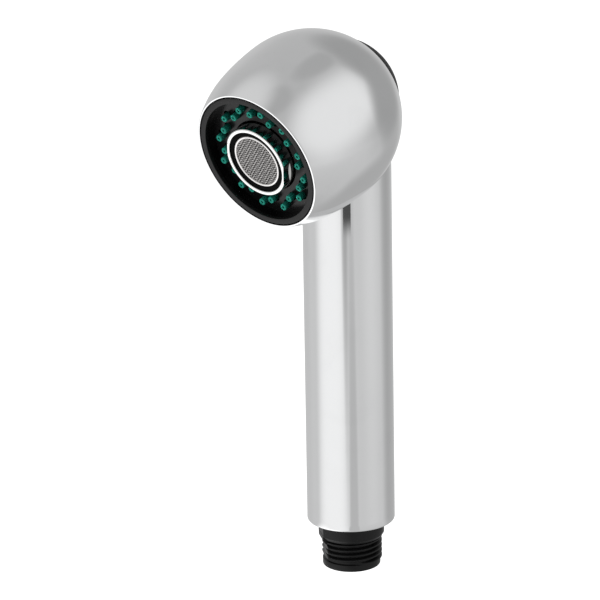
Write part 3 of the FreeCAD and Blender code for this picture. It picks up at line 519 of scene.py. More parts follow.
class Surface:
    """The vertices and faces of one piece, gathered island by island in millimetres."""

    def __init__(self, name: str) -> None:
        """Starts an empty piece.

        Args:
            name: the piece's name.
        """
        self.name = name
        self.verts: list[np.ndarray] = []
        self.faces: list[tuple[int, ...]] = []
        self.count = 0

    def wrap(self, loops: np.ndarray, outward: bool) -> None:
        """Adds a closed ring of section loops.

        Args:
            loops: section points by section place and column, with three coordinates.
            outward: whether the loops run so that the faces already look outward.
        """
        rows, columns = loops.shape[:2]
        poles = np.ptp(loops, axis=1).max(axis=1) < POLE_WIDTH
        index = np.empty((rows, columns), int)
        kept: list[np.ndarray] = []
        for i in range(rows):
            if poles[i]:
                index[i] = self.count
                kept.append(loops[i, :1])
                self.count += 1
            else:
                index[i] = np.arange(self.count, self.count + columns)
                kept.append(loops[i])
                self.count += columns
        self.verts += kept
        for i in range(rows):
            k = (i + 1) % rows
            if poles[i] and poles[k]:
                continue
            for j in range(columns):
                n = (j + 1) % columns
                ring = [index[i, j], index[i, n], index[k, n], index[k, j]]
                ring = list(dict.fromkeys(int(v) for v in ring))
                self.faces.append(tuple(ring if outward else ring[::-1]))

    def turn(self, outline: Outline, columns: int, frame: Matrix, shape: Shape | None = None) -> None:
        """Adds a turned island.

        Args:
            outline: its closed half-section.
            columns: how many columns go round.
            frame: places the turning axis.
            shape: an optional change to the local points.
        """
        section = outline.rounded()
        r, s = section[:, 0], section[:, 1]
        area = float(np.sum(r * np.roll(s, -1) - np.roll(r, -1) * s))
        angle = np.arange(columns) / columns * 2 * math.pi
        local = np.stack([np.outer(r, np.cos(angle)), np.outer(r, np.sin(angle)),
                          np.repeat(s[:, None], columns, 1)], axis=2)
        if shape:
            local = shape(local)
        self.wrap(placed(local, frame), outward=area > 0)

    def build(self, material: bpy.types.Material, crease: float = 32.0) -> bpy.types.Object:
        """Makes the object.

        Args:
            material: the finish of the whole piece.
            crease: edges sharper than this many degrees stay sharp.

        Returns:
            The object, in metres at the origin.
        """
        mesh = bpy.data.meshes.new(self.name)
        mesh.from_pydata((np.concatenate(self.verts) * MM).tolist(), [], self.faces)
        mesh.update()
        return finished(mesh, self.name, material, crease)


def placed(local: np.ndarray, frame: Matrix) -> np.ndarray:
    """Local points carried into the sprayer's frame.

    Args:
        local: points whose last axis holds the coordinates.
        frame: the placing matrix.

    Returns:
        The moved points in the same layout.
    """
    turn = np.array(frame.to_3x3())
    return local @ turn.T + np.array(frame.translation)


def finished(mesh: bpy.types.Mesh, name: str, material: bpy.types.Material,
             crease: float) -> bpy.types.Object:
    """Shades a mesh smooth and gives it an object.

    Args:
        mesh: the mesh, in metres.
        name: the object's name.
        material: its finish.
        crease: edges sharper than this many degrees stay sharp.

    Returns:
        The linked object.
    """
    mesh.materials.clear()
    mesh.materials.append(material)
    mesh.polygons.foreach_set("use_smooth", [True] * len(mesh.polygons))
    mesh.set_sharp_from_angle(angle=math.radians(crease))
    item = bpy.data.objects.new(name, mesh)
    bpy.context.scene.collection.objects.link(item)
    LOG.info("%s: %d faces", name, len(mesh.polygons))
    return item


def flats(planes: tuple[Point, ...], low: float, high: float) -> Shape:
    """A change that planes flats on a turned piece.

    Args:
        planes: for each flat, its distance from the axis and the way it looks, in degrees.
        low: the lowest height that is planed.
        high: the highest height that is planed.

    Returns:
        The change, for Surface.turn.
    """

    def plane(local: np.ndarray) -> np.ndarray:
        """Pushes the points beyond each plane back onto it.

        Args:
            local: the turned piece's points.

        Returns:
            The planed points.
        """
        local = local.copy()
        band = (local[..., 2] >= low) & (local[..., 2] <= high)
        for distance, direction in planes:
            way = np.array([math.cos(math.radians(direction)), math.sin(math.radians(direction))])
            over = np.clip(local[..., :2] @ way - distance, 0, None) * band
            local[..., :2] -= over[..., None] * way
        return local

    return plane


def ride(item: bpy.types.Object, body: Body, slot: str, *nodes: str) -> None:
    """Hands a finished piece to the frame.

    Args:
        item: the piece.
        body: the body it rides on.
        slot: the record's slot of its finish; not used.
        *nodes: the CAD nodes that it stands for.
    """
    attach(item, body.value)
    if nodes:
        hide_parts(*nodes)


# ---------------------------------------------------------------- geometry nodes


class Repeater:
    """A geometry node tree with named inputs, run once into a plain mesh."""

    def __init__(self, name: str) -> None:
        """Starts the tree.

        Args:
            name: the tree's name.
        """
        self.tree = bpy.data.node_groups.new(name, "GeometryNodeTree")
        self.graph = Graph(self.tree)
        self.values: dict[str, object] = {}
        self.tree.interface.new_socket("Geometry", in_out="OUTPUT", socket_type="NodeSocketGeometry")
        self.start = self.graph.add("NodeGroupInput")
        self.end = self.graph.add("NodeGroupOutput")

    def given(self, name: str, value: object, kind: str = "NodeSocketFloat") -> bpy.types.NodeSocket:
        """Adds a named input.

        Args:
            name: the input's name.
            value: the value that the run uses.
            kind: the socket's type.

        Returns:
            The socket to join inside the tree.
        """
        item = self.tree.interface.new_socket(name, in_out="INPUT", socket_type=kind)
        self.values[item.identifier] = value
        return self.start.outputs[name]

    def run(self, shape: bpy.types.NodeSocket, material: bpy.types.Material) -> bpy.types.Mesh:
        """Ends the tree, evaluates it and gives the plain mesh.

        Args:
            shape: the geometry to end with.
            material: what Set Material sets.

        Returns:
            The evaluated mesh.
        """
        real = self.graph.add("GeometryNodeRealizeInstances", {"Geometry": shape})
        coat = self.given("Material", material, "NodeSocketMaterial")
        done = self.graph.add("GeometryNodeSetMaterial", {"Geometry": real.outputs[0], "Material": coat})
        self.tree.links.new(done.outputs[0], self.end.inputs["Geometry"])
        host = bpy.data.objects.new(self.tree.name, bpy.data.meshes.new(self.tree.name))
        bpy.context.scene.collection.objects.link(host)
        change = host.modifiers.new("repeat", "NODES")
        change.node_group = self.tree
        for identifier, value in self.values.items():
            change[identifier] = value
        bpy.context.view_layer.update()
        ready = host.evaluated_get(bpy.context.evaluated_depsgraph_get())
        mesh = bpy.data.meshes.new_from_object(ready)
        mesh.name = self.tree.name
        host.modifiers.clear()
        bpy.data.objects.remove(host)
        return mesh


HEAD = Matrix.Translation((0.0, 0.0, HEAD_HEIGHT)) @ Matrix.Rotation(math.radians(90.0 + HEAD_TILT), 4, "X")
UPRIGHT = Matrix.Identity(4)


def metres(frame: Matrix) -> Matrix:
    """The same frame, for a mesh that is already in metres."""
    return Matrix.Translation(frame.translation * MM) @ frame.to_3x3().to_4x4()


# ---------------------------------------------------------------- sub-assemblies


@dataclass
class EggHead:
    """The plated head shell, an egg turned about the spray axis."""

    lip_r: float = 18.1
    lip_s: float = -6.08
    mouth_r: float = 17.55
    widest_r: float = 30.09
    widest_s: float = 19.0
    rear_arc: float = 32.2
    crown_arc: float = 93.2
    brow_s: float = 33.4
    brow_arc: float = 43.2
    rim_s: float = 46.45
    bore_r: float = 24.15
    bore_s: float = 34.0
    wall: float = 2.0
    spigot_r: float = 12.6
    spigot_low: float = 128.0
    spigot_high: float = 146.0
    inner_low: float = -4.7
    lip_soft: float = 0.35
    rim_soft: float = 0.32
    columns: int = 384

    def _crown(self) -> Point:
        """The crown arc's centre."""
        return self.widest_r - self.crown_arc, self.widest_s

    def _brow(self) -> tuple[Point, Point]:
        """Finds the brow arc, which leaves the crown arc without a corner.

        Returns:
            The arc's start and its centre.
        """
        cr, cs = self._crown()
        r = cr + math.sqrt(self.crown_arc ** 2 - (self.brow_s - cs) ** 2)
        way = ((r - cr) / self.crown_arc, (self.brow_s - cs) / self.crown_arc)
        return (r, self.brow_s), (r - self.brow_arc * way[0], self.brow_s - self.brow_arc * way[1])

    def radius(self, s: np.ndarray) -> np.ndarray:
        """The outside radius along the spray axis.

        Args:
            s: places along the axis.

        Returns:
            The radius at each place.
        """
        s = np.asarray(s, float)
        (_, brow_s), (br, bs) = self._brow()
        cr, cs = self._crown()
        arcs = ((self.widest_r - self.rear_arc, self.widest_s, self.rear_arc),
                (cr, cs, self.crown_arc), (br, bs, self.brow_arc))
        rear, crown, brow = (r + np.sqrt(np.clip(arc ** 2 - (s - mid) ** 2, 0, None)) for r, mid, arc in arcs)
        return np.where(s < self.widest_s, np.maximum(rear, self.lip_r), np.where(s < brow_s, crown, brow))

    def build(self, finishes: Finishes) -> None:
        """Builds and dresses the shell.

        Args:
            finishes: the materials.
        """
        start, brow = self._brow()
        rim_r = float(self.radius(np.array(self.rim_s)))
        outline = Outline().to(self.lip_r, self.lip_s, self.lip_soft)
        outline.arc((self.widest_r - self.rear_arc, self.widest_s), (self.widest_r, self.widest_s), 56)
        outline.arc(self._crown(), start, 20)
        outline.arc(brow, (rim_r, self.rim_s), 24)
        outline.soft[-1] = self.rim_soft
        outline.to(self.bore_r, self.rim_s, 0.08).to(self.bore_r, self.bore_s)
        for s in np.linspace(self.bore_s, self.inner_low, 30):
            outline.to(max(float(self.radius(s)) - self.wall, self.mouth_r), float(s))
        outline.to(self.mouth_r, self.lip_s, 0.1)
        shell = Surface("head_shell_form")
        shell.turn(outline, self.columns, HEAD)
        inner = self.spigot_r - self.wall
        spigot = Outline().to(self.spigot_r, self.spigot_low, 0.4).to(self.spigot_r, self.spigot_high)
        spigot.to(inner, self.spigot_high).to(inner, self.spigot_low, 0.4)
        shell.turn(spigot, 96, UPRIGHT)
        ride(shell.build(finishes["chrome_shell"]), Body.HANDSET, "chrome_shell", "head_shell")


@dataclass
class Handle:
    """The plated grip sleeve, with a round shoulder that dies into the egg."""

    egg: EggHead
    r: float = 15.0
    foot: float = 16.45
    edge: float = 0.8
    shoulder: float = 142.1
    wall: float = 2.0
    web: float = 3.0
    hole_r: float = 9.1
    seam: float = 0.08
    lip: float = 0.28
    columns: int = 360
    rows: int = 130

    def _generator(self, size: float, path: np.ndarray, foot: float,
                   inset: np.ndarray | float = 0.0) -> tuple[np.ndarray, np.ndarray]:
        """Radius and height along a straight side that ends in a dome.

        Args:
            size: the side's radius.
            path: lengths along it.
            foot: the height it starts from.
            inset: how far the surface steps in along its normal.

        Returns:
            The radius and the height at each length.
        """
        straight = self.shoulder - foot
        angle = np.clip((path - straight) / size, 0, math.pi / 2)
        near = size - inset
        return near * np.cos(angle), foot + np.minimum(path, straight) + near * np.sin(angle)

    def _outside(self, r: np.ndarray, z: np.ndarray, angle: np.ndarray) -> np.ndarray:
        """How far points stand outside the egg and its seam.

        Args:
            r: radius about the grip's axis.
            z: height.
            angle: direction about the grip's axis.

        Returns:
            The distance, negative inside.
        """
        world = np.stack(np.broadcast_arrays(r * np.cos(angle), r * np.sin(angle), z), axis=-1)
        local = (world - np.array(HEAD.translation)) @ np.array(HEAD.to_3x3())
        return np.hypot(local[..., 0], local[..., 1]) - self.egg.radius(local[..., 2]) - self.seam

    def _reach(self, size: float, foot: float, angle: np.ndarray) -> np.ndarray:
        """The length of each column up to the egg.

        Args:
            size: the side's radius.
            foot: the height it starts from.
            angle: the columns' directions.

        Returns:
            The length for each column.
        """
        full = self.shoulder - foot + size * math.pi / 2
        steps = np.linspace(full / 2, full, 500)
        r, z = self._generator(size, steps, foot)
        inside = self._outside(r[:, None], z[:, None], angle[None, :]) < 0
        first = np.argmax(inside, axis=0)
        low, high = steps[np.maximum(first - 1, 0)], steps[first]
        for _ in range(30):
            middle = (low + high) / 2
            r, z = self._generator(size, middle, foot)
            within = self._outside(r, z, angle) < 0
            high, low = np.where(within, middle, high), np.where(within, low, middle)
        return low

    def build(self, finishes: Finishes) -> None:
        """Builds and dresses the sleeve.

        Args:
            finishes: the materials.
        """
        angle = np.arange(self.columns) / self.columns * 2 * math.pi
        bend = np.linspace(0, math.pi / 2, 6)
        foot_r = self.r - self.edge + self.edge * np.sin(bend)
        foot_z = self.foot + self.edge - self.edge * np.cos(bend)
        part = 1 - (1 - np.linspace(0, 1, self.rows)) ** 2
        top = self.foot + self.edge
        reach = self._reach(self.r, top, angle)
        path = np.outer(part, reach)
        near = np.clip(1 - (reach - path) / self.lip, 0, 1)
        outer_r, outer_z = self._generator(self.r, path, top, self.lip * (1 - np.sqrt(1 - near ** 2)))
        inner = self.r - self.wall
        web = self.foot + self.web
        inner_path = np.outer(part[::-1], self._reach(inner, web, angle))
        inner_r, inner_z = self._generator(inner, inner_path, web)
        wide = np.ones(self.columns)
        r = np.vstack([self.hole_r * wide, foot_r[:-1, None] * wide, outer_r, inner_r, self.hole_r * wide])
        z = np.vstack([self.foot * wide, foot_z[:-1, None] * wide, outer_z, inner_z, web * wide])
        loops = np.stack([r * np.cos(angle), r * np.sin(angle), z], axis=-1)
        sleeve = Surface("handle_sleeve_form")
        sleeve.wrap(loops, outward=True)
        ride(sleeve.build(finishes["chrome_shell"]), Body.HANDSET, "chrome_shell", "handle_sleeve")


@dataclass
class Inlet:
    """The moulded inlet: nose, threaded spigot, collar and the riser inside the grip."""

    bore_r: float = 7.2
    bore_top: float = 22.0
    bore_taper: float = 2.2
    nose_r: float = 9.9
    nose_top: float = 2.35
    nose_step: float = 0.35
    core_r: float = 9.0
    collar: tuple[Point, Point, Point] = ((10.5, 10.45), (11.3, 11.6), (11.3, 16.35))
    tube_r: float = 9.0
    tube_top: float = 27.0
    riser_r: float = 6.6
    riser_bore: float = 5.0
    riser_top: float = 148.3
    root_r: float = 9.316
    crest_r: float = 10.4775
    pitch: float = 1.814
    crest_flat: float = 0.45
    root_flat: float = 0.20
    turns: float = 4.45
    first_crest: float = 2.55
    start_way: float = 335.0
    lead: float = 9.0
    sheet: tuple[int, int] = (289, 200)
    sheet_hem: float = 0.9
    flat_at: float = 9.35
    flat_way: float = 234.0
    collar_flats: tuple[Point, ...] = ((10.7, 234.0), (11.12, 265.5), (11.05, 54.0))
    pad_half: float = 3.4
    pad_side: tuple[Point, ...] = (
        (8.8, 8.5), (9.4, 8.5), (10.0, 9.0), (10.7, 10.1), (10.7, 12.0), (8.8, 12.0))
    columns: int = 256

    def build(self, finishes: Finishes) -> None:
        """Builds and dresses the inlet.

        Args:
            finishes: the materials.
        """
        body = Surface("inlet_tube_form")
        (low_r, low_z), (wide_r, wide_z), (top_r, top_z) = self.collar
        outline = Outline().to(self.bore_r, 0.0, 0.3).to(self.nose_r, 0.0, 0.5)
        outline.to(self.nose_r, self.nose_top, 0.12).to(self.core_r, self.nose_top + self.nose_step)
        outline.to(self.core_r, low_z).to(low_r, low_z, 0.15)
        outline.to(wide_r, wide_z, 0.4).to(top_r, top_z, 0.25)
        outline.to(self.tube_r, top_z).to(self.tube_r, self.tube_top).to(self.riser_r, self.tube_top)
        outline.to(self.riser_r, self.riser_top).to(self.riser_bore, self.riser_top)
        outline.to(self.riser_bore, self.bore_top + self.bore_taper).to(self.bore_r, self.bore_top)
        body.turn(outline, self.columns, UPRIGHT, flats(self.collar_flats, low_z - 0.01, top_z))
        body.wrap(self.pad(), outward=False)
        slot = "black_plastic"
        ride(body.build(finishes[slot]), Body.HANDSET, slot, "inlet_tube")
        ridges = finished(self.thread(finishes[slot]), "inlet_thread_ridges", finishes[slot], 40.0)
        ride(ridges, Body.HANDSET, slot)

    def pad(self) -> np.ndarray:
        """The pad that carries the collar's flat down to the thread's flat strip.

        Returns:
            Section loops across the pad, closed by a point at each end.
        """
        heading = math.radians(self.flat_way)
        out = np.array([math.cos(heading), math.sin(heading), 0.0])
        across = np.array([-out[1], out[0], 0.0])
        side = np.array([out * distance + np.array([0.0, 0.0, height]) for distance, height in self.pad_side])
        middle = np.repeat(side.mean(axis=0)[None], len(side), axis=0)
        step = self.pad_half * across
        return np.stack([middle - step, side - step, side + step, middle + step])

    def thread(self, material: bpy.types.Material) -> bpy.types.Mesh:
        """Winds the helical ridges round the spigot with geometry nodes.

        Args:
            material: the ridges' finish.

        Returns:
            The ridges' mesh, in metres.
        """
        tree = Repeater("inlet_thread")
        g = tree.graph
        low = tree.given("Low", self.nose_top * MM)
        high = tree.given("High", (self.collar[0][1] + 0.05) * MM)
        root = tree.given("Root radius", self.root_r * MM)
        crest = tree.given("Crest radius", self.crest_r * MM)
        pitch = tree.given("Pitch", self.pitch * MM)
        half_crest = tree.given("Half crest", self.crest_flat / 2 * MM)
        flank = tree.given("Flank", (self.pitch - self.crest_flat - self.root_flat) / 2 * MM)
        first = tree.given("First crest", self.first_crest * MM)
        turns = tree.given("Turns", self.turns)
        begin = tree.given("Start turn", self.start_way / 360.0)
        around, up = self.sheet
        sheet = g.add("GeometryNodeMeshGrid", {
            "Size X": 1.0, "Size Y": 1.0, "Vertices X": around, "Vertices Y": up})
        spot = g.add("ShaderNodeSeparateXYZ", {0: g.add("GeometryNodeInputPosition").outputs[0]})
        round_part = g.math("ADD", spot.outputs[0], 0.5)
        along = g.math("ADD", spot.outputs[1], 0.5)
        height = g.math("ADD", low, g.math("MULTIPLY", along, g.math("SUBTRACT", high, low)))
        wound = g.math("FRACT", g.math("ADD", round_part, g.math("SUBTRACT", 1.0, begin)))
        phase = g.math("SUBTRACT", g.math("DIVIDE", g.math("SUBTRACT", height, first), pitch), wound)
        ridge = g.math("ROUND", phase)
        off = g.math("MULTIPLY", g.math("ABSOLUTE", g.math("SUBTRACT", phase, ridge)), pitch)
        rise = g.math("DIVIDE", g.math("SUBTRACT", g.math("ADD", half_crest, flank), off), flank, clamp=True)
        turn_now = g.math("ADD", ridge, wound)
        lead_in = g.math("MULTIPLY", g.math("ADD", turn_now, 0.05), self.lead, clamp=True)
        lead_out = g.math("MULTIPLY", g.math("SUBTRACT", turns, turn_now), self.lead, clamp=True)
        rise = g.math("MULTIPLY", rise, g.math("MULTIPLY", lead_in, lead_out))
        radius = g.math("ADD", root, g.math("MULTIPLY", rise, g.math("SUBTRACT", crest, root)))
        last_row = 0.4995
        hem = g.math("GREATER_THAN", g.math("ABSOLUTE", spot.outputs[1]), last_row)
        radius = g.math("SUBTRACT", radius, g.math("MULTIPLY", hem, self.sheet_hem * MM))
        angle = g.math("MULTIPLY", round_part, 2 * math.pi)
        place = g.add("ShaderNodeCombineXYZ", {
            0: g.math("MULTIPLY", radius, g.math("COSINE", angle)),
            1: g.math("MULTIPLY", radius, g.math("SINE", angle)), 2: height})
        heading = math.radians(self.flat_way)
        looks = (math.cos(heading), math.sin(heading), 0.0)
        way = tree.given("Flat direction", looks, "NodeSocketVector")
        flat = tree.given("Flat distance", self.flat_at * MM)
        reach = g.vector("DOT_PRODUCT", place.outputs[0], way, output="Value")
        over = g.math("MAXIMUM", g.math("SUBTRACT", reach, flat), 0.0)
        back = g.add("ShaderNodeVectorMath", {0: way, "Scale": over}, operation="SCALE")
        planed = g.vector("SUBTRACT", place.outputs[0], back.outputs[0])
        moved = g.add("GeometryNodeSetPosition", {"Geometry": sheet.outputs[0], "Position": planed})
        joined = g.add("GeometryNodeMergeByDistance", {
            "Geometry": moved.outputs[0], "Distance": 0.0005 * MM})
        return tree.run(joined.outputs[0], material)


@dataclass
class RearButton:
    """The domed push button at the back of the head."""

    dome: float = 20.8
    apex: float = -16.0
    r: float = 17.3
    skirt: float = -5.0
    wall: float = 1.6
    pocket_r: float = 7.6
    hub_r: float = 4.9
    hole_r: float = 2.85
    pad: float = -12.6
    hub_front: float = -9.6
    hub_floor: float = -13.9

    def build(self, finishes: Finishes) -> None:
        """Builds and dresses the button.

        Args:
            finishes: the materials.
        """
        centre = self.apex + self.dome
        edge = centre - math.sqrt(self.dome ** 2 - self.r ** 2)
        inner_dome, inner_r = self.dome - self.wall, self.r - self.wall
        inner_edge = centre - math.sqrt(inner_dome ** 2 - inner_r ** 2)
        outline = Outline().to(0.0, self.apex).arc((0.0, centre), (self.r, edge), 48)
        outline.soft[-1] = 0.6
        outline.to(self.r, self.skirt, 0.2).to(inner_r, self.skirt).to(inner_r, inner_edge)
        pocket = centre - math.sqrt(inner_dome ** 2 - self.pocket_r ** 2)
        outline.arc((0.0, centre), (self.pocket_r, pocket), 16).to(self.pocket_r, self.pad)
        outline.to(self.hub_r, self.pad).to(self.hub_r, self.hub_front).to(self.hole_r, self.hub_front)
        outline.to(self.hole_r, self.hub_floor).to(0.0, self.hub_floor)
        button = Surface("rear_button_form")
        button.turn(outline, 256, HEAD)
        ride(button.build(finishes["button_black"]), Body.DIVERTER, "gloss_black", "rear_button")


@dataclass
class Springs:
    """The two coil springs, copied from the solids."""

    frame: dict
    return_at: Point = (-12.5, -5.1)
    return_travel: float = 3.5
    check_at: Point = (7.6, 17.9)
    check_travel: float = 3.0

    def build(self, finishes: Finishes) -> None:
        """Builds and dresses both springs.

        Args:
            finishes: the materials.
        """
        low, high = self.return_at
        keep = 1 - self.return_travel / (high - low)
        self._coil(finishes, "return_spring", "button_press", HEAD, high, keep)
        low, high = self.check_at
        keep = 1 - self.check_travel / (high - low)
        self._coil(finishes, "check_valve_spring", "check_valve_lift", UPRIGHT, high, keep)

    def _coil(self, finishes: Finishes, node: str, joint: str, axis: Matrix, fixed: float,
              keep: float) -> None:
        """Copies one coil.

        Args:
            finishes: the materials.
            node: the coil's node.
            joint: the joint that presses it; not used.
            axis: the frame whose third axis the coil winds round; not used.
            fixed: where its resting end stands on that axis, in millimetres; not used.
            keep: the share of its length that is left when pressed; not used.
        """
        shape = self.frame["nodes"][node].data.copy()
        coil = finished(shape, node + "_coil", finishes["spring_steel"], 60.0)
        ride(coil, Body.HANDSET, "spring_steel", node)
        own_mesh(coil)


@dataclass
class SprayFace:
    """The bumper ring and the soft mat whose nozzles stand through the face plate."""

    ring_inner: float = 21.7
    ring_outer: float = 24.04
    ring_front: float = 23.74
    ring_tail_inner: float = 22.8
    ring_tail: float = 43.5
    ring_low: float = 44.9
    ring_high: float = 46.4
    mat: tuple[float, float, float, float] = (13.3, 23.5, 38.6, 39.8)
    nozzle_foot: float = 1.4
    nozzle_tip: float = 1.18
    nozzle_hole: float = 0.4
    nozzle_deep: float = 2.2
    nozzle_sunk: float = 0.9
    nozzle_high: float = 44.4
    nozzle_lean: float = 0.012
    rows: tuple[tuple[int, float, float], ...] = ((12, 16.2, 0.0), (12, 18.2, 15.0))

    def build(self, finishes: Finishes) -> None:
        """Builds and dresses the ring and the mat.

        Args:
            finishes: the materials.
        """
        ring = Surface("bumper_ring_form")
        outline = Outline().to(self.ring_outer, self.ring_tail).to(self.ring_outer, self.ring_low)
        outline.to(self.ring_front, self.ring_low).to(self.ring_front, self.ring_high, 0.3)
        outline.to(self.ring_inner, self.ring_high, 0.12).to(self.ring_inner, self.ring_low, 0.1)
        outline.to(self.ring_tail_inner, self.ring_low).to(self.ring_tail_inner, self.ring_tail)
        ring.turn(outline, 256, HEAD)
        ride(ring.build(finishes["dark_grey_plastic"]), Body.HANDSET, "dark_grey_plastic", "bumper_ring")
        inner, outer, low, high = self.mat
        mat = Surface("nozzle_mat_form")
        mat.turn(Outline().to(inner, low).to(outer, low).to(outer, high, 0.2).to(inner, high, 0.2), 128, HEAD)
        slot = "teal_silicone"
        ride(mat.build(finishes[slot]), Body.HANDSET, slot, "nozzle_mat")
        tips = self.nozzles(finishes[slot])
        tips.transform(metres(HEAD))
        ride(finished(tips, "nozzle_tips", finishes[slot], 40.0), Body.HANDSET, slot)

    def nozzles(self, material: bpy.types.Material) -> bpy.types.Mesh:
        """Stands the nozzles in their rings with geometry nodes.

        Args:
            material: the nozzles' finish.

        Returns:
            The nozzles' mesh, in metres along the spray axis.
        """
        one = Surface("one_nozzle")
        low, bottom = self.mat[3] - self.nozzle_sunk, self.nozzle_high - self.nozzle_deep
        outline = Outline().to(0.0, low).to(self.nozzle_foot, low).to(self.nozzle_tip, self.nozzle_high, 0.3)
        outline.to(self.nozzle_hole, self.nozzle_high, 0.12).to(self.nozzle_hole, bottom).to(0.0, bottom)
        one.turn(outline, 28, UPRIGHT)
        pattern = one.build(material)
        tree = Repeater("nozzle_rings")
        g = tree.graph
        model = tree.given("Nozzle", pattern, "NodeSocketObject")
        info = g.add("GeometryNodeObjectInfo", {"Object": model})
        lean = self.nozzle_lean
        rings = []
        for i, (count, radius, phase) in enumerate(self.rows):
            number = tree.given(f"Count {i}", count, "NodeSocketInt")
            size = tree.given(f"Radius {i}", radius * MM)
            turn = tree.given(f"Phase {i}", math.radians(phase))
            circle = g.add("GeometryNodeMeshCircle", {"Vertices": number, "Radius": size})
            spin = g.add("ShaderNodeCombineXYZ", {2: turn})
            moved = g.add("GeometryNodeTransform", {
                "Geometry": circle.outputs[0], "Rotation": spin.outputs[0]})
            vary = g.add("FunctionNodeRandomValue", {
                "Min": (-lean, -lean, 0.0), "Max": (lean, lean, 6.28), "Seed": 11 + i,
            }, data_type="FLOAT_VECTOR")
            stood = g.add("GeometryNodeInstanceOnPoints", {
                "Points": moved.outputs[0], "Instance": info.outputs["Geometry"],
                "Rotation": vary.outputs[0]})
            rings.append(stood.outputs[0])
        both = g.add("GeometryNodeJoinGeometry")
        for ring in rings:
            g.tree.links.new(ring, both.inputs[0])
        mesh = tree.run(both.outputs[0], material)
        bpy.data.objects.remove(pattern)
        return mesh


